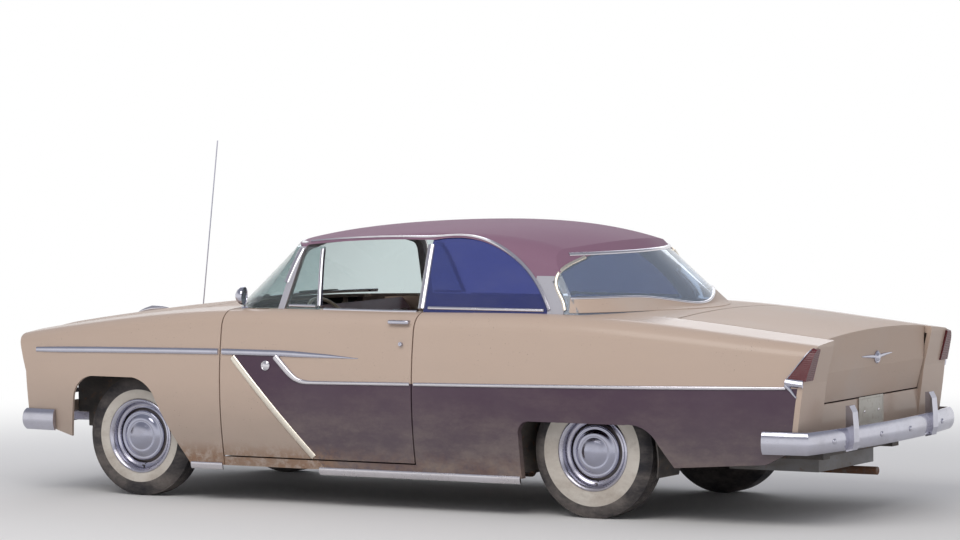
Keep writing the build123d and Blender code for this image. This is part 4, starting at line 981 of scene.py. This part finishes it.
lens_profile = [(0.084, -0.006), (0.086, 0.0), (0.082, 0.006), (0.066, 0.014), (0.044, 0.020),
                (0.020, 0.0235), (0.0, 0.0245)]
lens_inside = [(0.0, 0.0205), (0.044, 0.0160), (0.066, 0.010), (0.080, 0.001), (0.084, -0.006)]
bowl_profile = [(0.086, -0.010), (0.076, -0.036), (0.056, -0.058), (0.030, -0.070), (0.0, -0.074)]
bowl_back = [(0.0, -0.078), (0.058, -0.062), (0.080, -0.038), (0.090, -0.010), (0.086, -0.010)]
rim_profile = [(0.0970, -0.030), (0.0970, 0.004), (0.0955, 0.014), (0.0910, 0.0195), (0.0850, 0.0175),
               (0.0815, 0.0110), (0.0840, 0.0070), (0.0875, 0.0000), (0.0890, -0.030), (0.0970, -0.030)]
for hand, word in hands:
    centre = (lamp_place[0], lamp_place[1] * hand, lamp_place[2])
    pressed_lens = lathe(lens_profile + lens_inside, centre, (1, 0, 0), 96, flutes)
    front_lens = shape_of("headlamp_lens_" + word, pressed_lens, "body_shell", lamp_glass)
    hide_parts("headlamps")
    shield = lathe([(0.0, -0.030), (0.016, -0.034), (0.018, -0.040), (0.0, -0.044)], centre, (1, 0, 0), 24)
    bowl = lathe(bowl_profile + bowl_back, centre, (1, 0, 0), 64)
    shape_of("headlamp_bowl_" + word, gathered(bowl, shield), "body_shell", silver)
    lamp_rim = lathe(rim_profile, centre, (1, 0, 0), 72)
    shape_of("headlamp_rim_" + word, lamp_rim, "body_shell", chrome)

# Tail lamps: tall red wedges let into the corner of each fender, with a cast chrome base below and
# The lens is moulded red plastic with fine cross ribs, faded in patches.
lamp_red_tone = (0.13, 0.010, 0.018)
red_lens, tree, shader = finish_of("tail_lens", lamp_red_tone, 0.22, Coat_Weight=0.3,
                                   Transmission_Weight=0.15, Coat_Roughness=0.08)
z = axes_of(tree)[2]
ribs = maths(tree, "SINE", times(tree, z, 620.0))
faded = ramp(tree, noise_of(tree, 12.0, 4.0), 0.35, 0.8)
feed(shader, "Base Color", blended(tree, times(tree, faded, 0.4), lamp_red_tone, (0.15, 0.040, 0.045)))
bumped(tree, shader, ribs, 0.4, 0.0012)
dress(red_lens, "tail_lamps")
tail_skin = skin_of("quarter_panel_left", "tail_lamps")
wedge_foot = [(-2.372, 0.771), (-2.420, 0.764), (-2.478, 0.760)]
path, outs = side_line(wedge_foot, 0.01, tail_skin)
base_section = [(0.020, -0.006), (0.020, 0.006), (0.014, 0.016), (0.004, 0.020), (-0.010, 0.017),
                (-0.020, 0.008), (-0.020, -0.006)]
both_sides("tail_lamp_base", path, outs, base_section, shell, chrome)
wedge_edge = [(-2.381, 0.792), (-2.440, 0.863), (-2.498, 0.938)]
path, outs = side_line(wedge_edge, 0.01, tail_skin)
both_sides("tail_lamp_edge", path, outs, arch(0.007, 0.008), shell, chrome)
hook_line = [(-2.372, 0.755), (-2.402, 0.728), (-2.420, 0.700), (-2.432, 0.690)]
path, outs = side_line(hook_line, 0.01, tail_skin)
both_sides("tail_lamp_tip", path, outs, arch(0.022, 0.014), shell, chrome,
           scales=[1.2 - 0.8 * k / max(1, len(path) - 1) for k in range(len(path))])

# Bumpers and number plate: pressed and plated bars on steel arms, held by round-headed bolts.
# The rear plate is left blank, a pale painted steel sheet with a rolled edge, bolted to the tail panel.
plate_paint, tree, shader = finish_of("plate_paint", (0.62, 0.60, 0.54), 0.42)
grime = dust_on(tree, 1.0, 0.7)
scraped = ramp(tree, noise_of(tree, 34.0, 5.0), 0.55, 0.66)
tone = blended(tree, times(tree, scraped, 0.35), (0.62, 0.60, 0.54), (0.34, 0.27, 0.20))
feed(shader, "Base Color", blended(tree, grime, tone, dust_colour))
bumper_skin = skin_of("front_bumper", "rear_bumper")
bolt = [(0.015, -0.004), (0.0148, 0.002), (0.012, 0.0055), (0.007, 0.0075), (0.0, 0.0082)]
for word, ahead, z, spots in (("front", 1, 0.420, (0.16, 0.62)), ("rear", -1, 0.452, (0.18, 0.68))):
    heads = []
    for y in spots:
        for hand in (1, -1):
            start, aim = Vector((ahead * 3.2, y * hand, z)), Vector((-ahead, 0, 0))
            place, out, _, _ = bumper_skin.ray_cast(start, aim)
            heads.append(lathe(bolt, place, out if out.x * ahead > 0 else -out, 20))
    shape_of(word + "_bumper_bolts", gathered(*heads), "body_shell", chrome)
plate_x, plate_z, plate_half = -2.436, 0.560, 0.152
pressed = [block_of((plate_x - 0.0022, -plate_half, plate_z - 0.078),
                    (plate_x, plate_half, plate_z + 0.078), 0.0008)]
plate_corners = [(-0.142, 0.492), (0.142, 0.492), (0.148, 0.498), (0.148, 0.622), (0.142, 0.628),
                 (-0.142, 0.628), (-0.148, 0.622), (-0.148, 0.498)]
edge_path = [Vector((plate_x - 0.002, y, z)) for y, z in plate_corners]
pressed.append(swept(edge_path, [rearward] * 8, arch(0.006, 0.0022, -0.001), None, True))
shape_of("number_plate_blank", gathered(*pressed), "body_shell", plate_paint)
screws = [lathe([(0.0030, 0.026), (0.0030, -0.003), (0.0075, -0.003), (0.0070, -0.0055), (0.0, -0.0068)],
                (plate_x, y, plate_z), (1, 0, 0), 18) for y in (-0.089, 0.089)]
shape_of("number_plate_screws", gathered(*screws), "body_shell", bright_trim)

# Running gear, frame, engine and pan: black painted and bare steel, cast iron, all oily and dusted.
# The exhaust is rusty mild steel; the tank is lead-coated sheet.
def ironwork(name, colour, rough, metal, rusty, dust=0.6):
    """Painted or bare metal under the car: grime, oil and some rust."""
    made, tree, shader = finish_of(name, colour, rough, Metallic=metal)
    scabs = effect(tree, rust_bloom, Spread=rusty)
    red = blended(tree, scabs["Tone"], (0.16, 0.065, 0.03), (0.33, 0.15, 0.07))
    shade = blended(tree, scabs["Mask"], colour, red)
    oily = ramp(tree, noise_of(tree, 5.0, 5.0), 0.45, 0.75)
    shade = blended(tree, times(tree, oily, 0.4), shade, (0.03, 0.026, 0.024))
    grime = dust_on(tree, 1.6, dust)
    feed(shader, "Base Color", blended(tree, grime, shade, (0.20, 0.17, 0.145)))
    dull = maths(tree, "ADD", times(tree, scabs["Mask"], 0.3), times(tree, grime, 0.25))
    feed(shader, "Roughness", maths(tree, "MINIMUM", maths(tree, "ADD", dull, rough), 1.0))
    bumped(tree, shader, noise_of(tree, 130.0, 4.0), 0.35, 0.0012)
    return made


frame_black = ironwork("frame_black", (0.030, 0.029, 0.031), 0.5, 0.0, 0.45)
dress(frame_black, "chassis_frame", "front_suspension", "inner_fenders", "knuckle_left", "knuckle_right",
      "leaf_springs", "rear_axle", "wheelhouses", "steering_column", "radiator")
dress(ironwork("pipe_steel", (0.20, 0.17, 0.155), 0.55, 0.4, 0.66), "exhaust")
dress(ironwork("tank_steel", (0.23, 0.23, 0.24), 0.5, 0.5, 0.4), "fuel_tank", "propeller_shaft")
dress(ironwork("engine_enamel", (0.14, 0.13, 0.135), 0.45, 0.1, 0.42, 0.4), "engine_block", "gearbox")
pan_coat, tree, shader = finish_of("pan_coat", (0.05, 0.045, 0.045), 0.8)
pile = noise_of(tree, 700.0, 2.0)
inside = maths(tree, "GREATER_THAN",
               node(tree, "SeparateXYZ", {0: node(tree, "TexCoord").outputs["Normal"]}).outputs["Z"], 0.4)
carpet = blended(tree, pile, (0.06, 0.042, 0.045), (0.17, 0.125, 0.125))
grime = dust_on(tree, 1.0, 0.7)
under = blended(tree, grime, (0.04, 0.037, 0.036), (0.20, 0.17, 0.145))
feed(shader, "Base Color", blended(tree, inside, under, carpet))
bumped(tree, shader, pile, 0.6, 0.003)
dress(pan_coat, "floor_and_firewall")

# Seats: a bench in front with a split back that tips, and a bench behind. Steel frames and coil springs
# under padding, covered in smooth vinyl with pleated cloth inserts and a welt sewn round each edge.
vinyl_tone, cloth_tone = (0.20, 0.115, 0.125), (0.36, 0.29, 0.28)
cushion_voxel, cushion_reach, cushion_frames = 0.014, 0.024, 20
vinyl, tree, shader = finish_of("seat_vinyl_cover", vinyl_tone, 0.42, Specular_IOR_Level=0.45)
grain = node(tree, "TexVoronoi", {"Vector": node(tree, "TexCoord").outputs["Object"],
                                  "Scale": 520.0}).outputs["Distance"]
worn = ramp(tree, noise_of(tree, 6.0, 5.0), 0.42, 0.8)
feed(shader, "Base Color", blended(tree, times(tree, worn, 0.35), vinyl_tone, (0.34, 0.24, 0.235)))
feed(shader, "Roughness", maths(tree, "ADD", 0.34, times(tree, worn, 0.2)))
bumped(tree, shader, grain, 0.25, 0.0006)
cloth, tree, shader = finish_of("seat_cloth_insert", cloth_tone, 0.85, Sheen_Weight=0.3, Sheen_Roughness=0.5)
x, out, z = axes_of(tree)
warp = maths(tree, "SINE", times(tree, out, 2600.0))
weft = maths(tree, "SINE", times(tree, maths(tree, "ADD", x, z), 2600.0))
weave = times(tree, warp, weft)
fleck = ramp(tree, noise_of(tree, 240.0, 3.0), 0.55, 0.68)
thread = blended(tree, times(tree, fleck, 0.6), cloth_tone, (0.15, 0.085, 0.095))
soiled = ramp(tree, noise_of(tree, 4.0, 4.0), 0.45, 0.8)
feed(shader, "Base Color", blended(tree, times(tree, soiled, 0.35), thread, (0.20, 0.16, 0.145)))
bumped(tree, shader, weave, 0.35, 0.0008)


def stuffed(made):
    """Swells a padded mesh with Cloth from its own voxel remesh, and keeps the result."""
    remesh = made.modifiers.new("remesh", "REMESH")
    remesh.mode, remesh.voxel_size = "VOXEL", cushion_voxel
    deps = bpy.context.evaluated_depsgraph_get()
    mesh = bpy.data.meshes.new_from_object(made.evaluated_get(deps))
    made.modifiers.clear()
    made.data = mesh
    before = [v.co.copy() for v in mesh.vertices]
    swell = made.modifiers.new("swell", "CLOTH")
    swell.settings.use_pressure = True
    swell.settings.uniform_pressure_force = 4.0
    swell.settings.quality = 4
    swell.settings.effector_weights.gravity = 0.0
    swell.point_cache.frame_start, swell.point_cache.frame_end = 1, cushion_frames
    for step in range(1, cushion_frames + 1):
        scene.frame_set(step)
    deps = bpy.context.evaluated_depsgraph_get()
    swollen = bpy.data.meshes.new_from_object(made.evaluated_get(deps))
    made.modifiers.clear()
    made.data = swollen
    for old, vertex in zip(before, swollen.vertices):
        moved = vertex.co - old
        if moved.length > cushion_reach:
            vertex.co = old + moved * (cushion_reach / moved.length)
    scene.frame_set(1)


def cushion(name, centre, size, tilt, crown, replaces):
    """One pad: size is (depth, width, thickness) and tilt turns it about the cross axis.
    Pleats run along the depth in the insert; the pad's own +Z is the side that a person touches."""
    depth, width, thick = size
    inset = 0.018
    block = block_of((-depth / 2 + inset, -width / 2 + inset, -thick / 2 + inset * 0.6),
                     (depth / 2 - inset, width / 2 - inset, thick / 2 - inset), min(thick * 0.32, 0.045), 4)
    turn = Matrix.Translation(centre) @ Matrix.Rotation(tilt, 4, "Y")
    made = shape_of(name, block, "body_shell", vinyl, 180)
    stuffed(made)
    made.data.materials.clear()
    made.data.materials.append(vinyl)
    made.data.materials.append(cloth)
    insert_x, insert_y = depth / 2 - 0.075, width / 2 - 0.095
    pitch = 2 * insert_y / max(1, round(2 * insert_y / 0.075))
    for vertex in made.data.vertices:
        p = vertex.co
        rim = min(max((insert_x - abs(p.x)) / 0.03, 0.0), 1.0)
        rim *= min(max((insert_y - abs(p.y)) / 0.03, 0.0), 1.0)
        domed = (1 - (2 * p.x / depth) ** 2) * (1 - (2 * p.y / width) ** 4)
        if p.z > 0:
            groove = abs(math.sin(math.pi * (p.y + insert_y) / pitch)) ** 0.6
            p.z += crown * max(domed, 0.0) + rim * (0.010 * groove - 0.006)
    for face in made.data.polygons:
        c = face.center
        face.material_index = int(c.z > 0.2 * thick and abs(c.x) < insert_x and abs(c.y) < insert_y)
    made.data.transform(turn)
    made.data.shade_smooth()
    finer = made.modifiers.new("finer", "SUBSURF")
    finer.levels = finer.render_levels = 1
    deps = bpy.context.evaluated_depsgraph_get()
    kept = bpy.data.meshes.new_from_object(made.evaluated_get(deps))
    made.modifiers.clear()
    made.data = kept
    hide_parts(replaces)
    level, back = [turn.inverted() @ v.co for v in kept.vertices], KDTree(len(kept.vertices))
    for k, p in enumerate(level):
        back.insert((p.x, p.y, 0.0), k)
    back.balance()
    # The loop is laid from the pad's size before the simulation, so it stands off the pulled-in pad.
    across, along = width / 2 - 0.028, depth / 2 - 0.026
    corner, ring = 0.05, []
    for sx, sy, start in ((1, 1, 0), (-1, 1, 90), (-1, -1, 180), (1, -1, 270)):
        for step in range(5):
            a = math.radians(start + step * 22.5)
            ring.append(Vector(((along - corner) * sx + corner * math.cos(a),
                                (across - corner) * sy + corner * math.sin(a), 0)))
    line = []
    for a, b in zip(ring, ring[1:] + ring[:1]):
        pieces = max(1, round((b - a).length / 0.03))
        line += [a.lerp(b, k / pieces) for k in range(pieces)]
    lifted, welt_path = -(turn.to_3x3() @ downward), []
    for p in line:
        under = [level[k].z for _, k, _ in back.find_range((p.x, p.y, 0.0), 0.016)]
        welt_path.append(turn @ Vector((p.x, p.y, max(under) if under else thick / 2)))
    round_section = [(0.0042 * math.cos(math.pi * k / 4), 0.0042 * math.sin(math.pi * k / 4) + 0.001)
                     for k in range(8)]
    welt = swept(welt_path, [lifted] * len(welt_path), round_section, None, True)
    shape_of("piping_of_" + name, welt, "body_shell", vinyl, 60)


cushion("front_seat_cushion", Vector((0.262, 0, 0.462)), (0.50, 1.31, 0.225), math.radians(-4.5), 0.018,
        "front_seat")
for hand, word in hands:
    cushion("front_seat_back_" + word, Vector((-0.058, hand * 0.3275, 0.735)), (0.475, 0.645, 0.115),
            math.radians(74.5), 0.012, "front_seat")
cushion("rear_seat_cushion", Vector((-0.615, 0, 0.522)), (0.40, 1.17, 0.165), math.radians(3.0), 0.018,
        "rear_seat")
cushion("rear_seat_back", Vector((-0.938, 0, 0.805)), (0.430, 1.17, 0.120), math.radians(67.5), 0.014,
        "rear_seat")
frames = []
for hand in (1, -1):
    frames.append(block_of((0.02, hand * 0.60 - 0.02, 0.302), (0.50, hand * 0.60 + 0.02, 0.350), 0.006))
frames.append(block_of((0.03, -0.64, 0.342), (0.49, 0.64, 0.362), 0.004))
shape_of("front_seat_frame", gathered(*frames), "body_shell", frame_black)
shape_of("rear_seat_frame", block_of((-0.80, -0.58, 0.44), (-0.43, 0.58, 0.452), 0.004), "body_shell",
         frame_black)

# Steering wheel: moulded ivory rubber on a steel core, with finger notches behind the rim, two
# flattened spokes and a chromed half-ring horn with a round blank button.
column_end, column_run, column_rise = Vector((0.720, 0.370, 0.925)), 408, 275
column_length = math.hypot(column_run, column_rise)
wheel_axis = Vector((-column_run / column_length, 0, column_rise / column_length))
wheel_centre = column_end + wheel_axis * 0.0203
rim_radius, rim_half = 0.210, 0.0105
ivory, tree, shader = finish_of("ivory_rubber", (0.56, 0.48, 0.38), 0.32, Coat_Weight=0.2)
handled = ramp(tree, noise_of(tree, 16.0, 5.0), 0.45, 0.75)
crazed = node(tree, "TexVoronoi", {"Vector": node(tree, "TexCoord").outputs["Object"], "Scale": 60.0},
              feature="DISTANCE_TO_EDGE").outputs["Distance"]
cracks = ramp(tree, crazed, 0.03, 0.0)
aged = blended(tree, times(tree, handled, 0.5), (0.56, 0.48, 0.38), (0.36, 0.26, 0.18))
feed(shader, "Base Color", blended(tree, times(tree, cracks, 0.5), aged, (0.12, 0.08, 0.06)))
across = Vector((0, 1, 0))
down_rim = wheel_axis.cross(across).normalized()


def on_rim(turn, radius, lift=0.0):
    """A point of the steering wheel's plane at a turn and a radius, lifted along its axis."""
    return wheel_centre + across * math.cos(turn) * radius + down_rim * math.sin(
            turn) * radius + wheel_axis * lift


verts, steps, sides = [], 144, 14
for k in range(steps):
    turn = 2 * math.pi * k / steps
    for i in range(sides):
        a = 2 * math.pi * i / sides
        notch = 0.0012 * math.cos(turn * 36) if math.sin(a) < -0.3 else 0.0
        r = rim_half + notch
        verts.append(on_rim(turn, rim_radius + math.cos(a) * r * 0.92, math.sin(a) * r))
faces = [(k * sides + i, k * sides + (i + 1) % sides, (k + 1) % steps * sides + (i + 1) % sides,
          (k + 1) % steps * sides + i) for k in range(steps) for i in range(sides)]
spokes, spoke_places = [], ((0, 0.026), (0.2, 0.08), (0.5, 0.15), (0.6, 0.203))
flat = [(0.012, -0.005), (0.012, 0.002), (0.006, 0.006), (-0.006, 0.006), (-0.012, 0.002), (-0.012, -0.005)]
for hand in (1, -1):
    line = [on_rim(0.10 * s, hand * r, -0.004) for s, r in spoke_places]
    spokes.append(swept(line, [wheel_axis] * 4, flat, [1.3, 1.0, 0.85, 0.95]))
hub = lathe([(0.0, -0.0195), (0.030, -0.0195), (0.033, -0.012), (0.034, 0.002), (0.030, 0.010),
             (0.024, 0.014), (0.0, 0.014)], wheel_centre, wheel_axis, 48)
wheel_rim = shape_of("steering_rim", gathered((verts, faces), *spokes, hub), "steering_wheel", ivory,
                     60)
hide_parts("steering_wheel")
ring_turns = [math.radians(180 * k / 28) for k in range(29)]
ring_points = [on_rim(turn, 0.128 + 0.006 * math.sin(turn), 0.010) for turn in ring_turns]
ring_points = [on_rim(0.0, 0.030, 0.012)] + ring_points + [on_rim(math.pi, 0.030, 0.012)]
button = lathe([(0.0, 0.010), (0.022, 0.012), (0.022, 0.018), (0.018, 0.022), (0.010, 0.024),
                (0.0, 0.0245)], wheel_centre, wheel_axis, 40)
shape_of("horn_ring", gathered(tube(ring_points, 0.0035, 10), button), "steering_wheel", chrome, 50)
lever = tube([Vector((0.80, 0.37, 0.878)), Vector((0.79, 0.44, 0.915)), Vector((0.78, 0.50, 0.935))],
             0.0035, 8)
knob = lathe([(0.0, -0.008), (0.007, -0.005), (0.009, 0.002), (0.006, 0.009), (0.0, 0.010)],
             (0.779, 0.505, 0.937), (0, 1, 0.4), 20)
shape_of("shift_lever", gathered(lever, knob), "body_shell", bright_trim, 50)

# Dashboard: painted pressed steel with a bright strip, a round speedometer and small dials in front of
# the driver, a radio blank, a glovebox lid with its lock, and a row of plastic knobs.
board_paint = enamelled("board_enamel", (0.26, 0.13, 0.15), dust=0.15, coat=0.5)
dress(board_paint, "dashboard")
dial_face, tree, shader = finish_of("dial_face", (0.035, 0.034, 0.036), 0.4)
feed(shader, "Base Color", blended(tree, ramp(tree, noise_of(tree, 200.0, 2.0), 0.4, 0.7),
                                   (0.030, 0.030, 0.033), (0.055, 0.052, 0.05)))
dial_paint, tree, shader = finish_of("dial_marks", (0.62, 0.58, 0.46), 0.5)
feed(shader, "Base Color", blended(tree, noise_of(tree, 90.0, 2.0), (0.66, 0.62, 0.50), (0.50, 0.44, 0.33)))
board_face = Vector((-1.0, 0.0, 0.166)).normalized()
board_x, board_foot, board_lean, knob_height = 0.900, 0.88, 0.02 / 0.12, 0.905


def on_board(y, z):
    """A point of the leaning board's face."""
    return Vector((board_x - (z - board_foot) * board_lean, y, z))


mark_section = [(0.0008, 0.0), (0.0008, 0.0006), (-0.0008, 0.0006), (-0.0008, 0.0)]
hand_section = [(0.0013, 0), (0.0, 0.001), (-0.0013, 0), (0.0, -0.001)]
for name, y, z, radius, ticks in (("speedometer", 0.37, 0.952, 0.062, 25),
                                  ("fuel_dial", 0.485, 0.950, 0.030, 7),
                                  ("clock_dial", -0.02, 0.950, 0.034, 12),
                                  ("heat_dial", 0.255, 0.950, 0.030, 7)):
    centre = on_board(y, z)
    bezel = lathe([(radius * 0.90, 0.002), (radius * 0.93, 0.010), (radius, 0.011), (radius * 1.05, 0.006),
                   (radius * 1.05, -0.006)], centre, board_face, 56)
    shape_of(name + "_bezel", bezel, "body_shell", chrome)
    dial = lathe([(radius * 1.02, -0.004), (radius * 0.92, 0.0022), (radius * 0.30, 0.0026), (0.0, 0.0026)],
                 centre, board_face, 56)
    shape_of(name + "_face", dial, "body_shell", dial_face)
    marks = []
    up_face = (Vector((0, 0, 1)) - board_face * board_face.z).normalized()
    across_face = board_face.cross(up_face)
    for k in range(ticks):
        turn = math.radians(-130 + 260 * k / (ticks - 1))
        arm = up_face * math.cos(turn) + across_face * math.sin(turn)
        long = 0.20 if k % 4 == 0 else 0.12
        line = [centre + arm * radius * (0.86 - long) + board_face * 0.0026,
                centre + arm * radius * 0.86 + board_face * 0.0026]
        marks.append(swept(line, [board_face] * 2, mark_section))
    arm = up_face * math.cos(-1.9) + across_face * math.sin(-1.9)
    hand_line = [centre - arm * radius * 0.15 + board_face * 0.005,
                 centre + arm * radius * 0.70 + board_face * 0.005]
    marks.append(swept(hand_line, [board_face] * 2, hand_section, [1.0, 0.3]))
    shape_of(name + "_marks", gathered(*marks), "body_shell", dial_paint)
strip_line = [Vector((0.8835, 0.70 - 0.07 * k, 0.990)) for k in range(21)]
board_skin = skin_of("dashboard")
path, outs = cast_line(board_skin, strip_line, lambda p: Vector((0.6, p.y, p.z)), forward)
shape_of("board_strip", swept(path, outs, arch(0.014, 0.005)), "body_shell", bright_trim)
knobs = []
for y in (0.60, 0.555, 0.18, 0.14, 0.09, -0.09, -0.14, -0.19):
    knobs.append(lathe([(0.0045, -0.002), (0.0045, 0.010), (0.010, 0.012), (0.0115, 0.018), (0.010, 0.023),
                        (0.0, 0.0245)], on_board(y, knob_height), board_face, 22))
shape_of("board_knobs", gathered(*knobs), "body_shell", ivory)
glove_corners = [(-0.30, 0.905), (-0.62, 0.905), (-0.635, 0.920), (-0.635, 0.968), (-0.62, 0.980),
                 (-0.30, 0.980), (-0.285, 0.968), (-0.285, 0.920)]
glove_path = [Vector((0, y, z)) for y, z in glove_corners]
path, outs = cast_line(board_skin, glove_path, lambda p: Vector((0.6, p.y, p.z)), forward)
lid_edge = swept(path, outs, arch(0.006, 0.003), None, True)
lid_button = lathe([(0.012, -0.002), (0.012, 0.006), (0.008, 0.009), (0.0, 0.010)], (0.8875, -0.46, 0.955),
                   board_face, 28)
shape_of("glovebox_edge", gathered(lid_edge, lid_button), "body_shell", bright_trim)

# Door trims: hardboard panels in vinyl with a cloth upper, a bright strip between, an armrest pad,
# a window winder and a release handle. They are clipped to the inner face of each door.
for hand, body in door_hands:
    panel = block_of((-0.085, 0.7462, 0.335), (0.985, 0.7552, 0.742), 0.004)
    shape_of("trim_lower_" + body, flipped(panel, hand), body, vinyl)
    upper = block_of((-0.085, 0.7462, 0.752), (0.985, 0.7552, 0.962), 0.004)
    shape_of("trim_upper_" + body, flipped(upper, hand), body, cloth)
    line = [Vector((x / 100, 0.7545 * hand, 0.747)) for x in range(-8, 99, 6)]
    strip = swept(line, [Vector((0, -hand, 0))] * len(line), arch(0.014, 0.013, 0.0))
    shape_of("trim_strip_" + body, strip, body, bright_trim)
    rest = block_of((0.02, 0.700, 0.640), (0.30, 0.750, 0.682), 0.018, 5)
    shape_of("armrest_" + body, flipped(rest, hand), body, vinyl, 180)
    winder_at = Vector((0.52, 0.745, 0.640))
    boss = lathe([(0.020, 0.0), (0.020, -0.008), (0.014, -0.013), (0.0, -0.014)], winder_at, (0, 1, 0), 28)
    crank = tube([winder_at + Vector((0, -0.010, 0)), winder_at + Vector((0.03, -0.016, -0.035)),
                  winder_at + Vector((0.052, -0.018, -0.075))], 0.005, 10)
    grip = lathe([(0.0, -0.030), (0.008, -0.029), (0.011, -0.020), (0.008, -0.010), (0.009, 0.0),
                  (0.0, 0.001)], winder_at + Vector((0.052, -0.016, -0.075)), (0, 1, 0), 20)
    release_at = Vector((0.72, 0.745, 0.700))
    plate = lathe([(0.018, 0.0), (0.018, -0.007), (0.012, -0.011), (0.0, -0.012)], release_at, (0, 1, 0), 28)
    pull = tube([release_at + Vector((0, -0.009, 0)), release_at + Vector((-0.04, -0.015, 0.003)),
                 release_at + Vector((-0.085, -0.017, 0.0))], 0.0048, 10)
    shape_of("door_furniture_" + body, flipped(gathered(boss, crank, grip, plate, pull), hand), body,
             chrome, 50)

# Engine bay: a cast-iron V engine with pressed rocker covers, an oil-bath air cleaner, a steel fan on
# the front, and a battery. The covers are enamelled; the cleaner is black with a wing nut.
cover_paint = ironwork("cover_enamel", (0.16, 0.17, 0.20), 0.4, 0.1, 0.40, 0.3)
engine_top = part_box("engine_block")[1][2]
for hand, word in hands:
    ridged = []
    low = Vector((1.34, 0.205, engine_top - 0.085))
    high = Vector((1.80, 0.335, engine_top - 0.020))
    ridged.append(block_of(low, high, 0.018, 4))
    for k in range(7):
        x = 1.375 + k * 0.065
        ridged.append(block_of((x, 0.215, high[2] - 0.004), (x + 0.022, 0.325, high[2] + 0.005), 0.004))
    for x in (1.40, 1.74):
        ridged.append(lathe([(0.012, 0.0), (0.012, 0.012), (0.008, 0.016), (0.0, 0.017)],
                            (x, 0.27, high[2] + 0.003), (0, 0, 1), 12))
    shape_of("rocker_cover_" + word, flipped(gathered(*ridged), hand), "body_shell", cover_paint)
cleaner_at = (1.56, 0, engine_top)
cleaner = [(0.0, 0.066), (0.020, 0.064), (0.030, 0.058), (0.120, 0.052), (0.134, 0.046), (0.138, 0.036),
           (0.134, 0.026), (0.118, 0.020), (0.112, -0.020), (0.060, -0.030), (0.050, -0.060), (0.0, -0.062)]
wing_nut = lathe([(0.006, 0.060), (0.006, 0.074), (0.0, 0.075)], cleaner_at, (0, 0, 1), 10)
cleaner_parts = gathered(lathe(cleaner, cleaner_at, (0, 0, 1), 64), wing_nut)
shape_of("air_cleaner", cleaner_parts, "body_shell", frame_black)
fan_centre, blades = Vector((1.93, 0, 0.640)), []
blade_section = [(0.030, -0.001), (0.030, 0.001), (0.0, 0.004), (-0.030, 0.001), (-0.030, -0.001),
                 (0.0, 0.002)]
for k in range(4):
    turn = math.radians(20 + 90 * k)
    arm = Vector((0, math.cos(turn), math.sin(turn)))
    tip = Vector((0, -math.sin(turn), math.cos(turn)))
    line = [fan_centre + arm * r for r in (0.03, 0.08, 0.14, 0.19)]
    lean = (forward + tip * 0.55).normalized()
    blades.append(swept(line, [lean] * 4, blade_section, [0.5, 0.9, 1.1, 1.0]))
hub = lathe([(0.0, 0.020), (0.036, 0.018), (0.040, 0.008), (0.040, -0.030), (0.062, -0.030),
             (0.062, -0.045), (0.0, -0.045)], fan_centre, (1, 0, 0), 36)
shape_of("engine_fan", gathered(hub, *blades), "body_shell", frame_black)
battery_low, battery_high = Vector((1.98, -0.40, 0.500)), Vector((2.12, -0.315, 0.690))
posts = [lathe([(0.009, -0.004), (0.008, 0.016), (0.0, 0.017)], (x, -0.357, battery_high[2]), (0, 0, 1), 16)
         for x in (2.005, 2.095)]
caps = [lathe([(0.010, -0.002), (0.010, 0.007), (0.0, 0.008)], (x, -0.357, battery_high[2]), (0, 0, 1), 16)
        for x in (2.03, 2.05, 2.07)]
shape_of("battery", gathered(block_of(battery_low, battery_high, 0.008), *posts, *caps), "body_shell",
         frame_black)
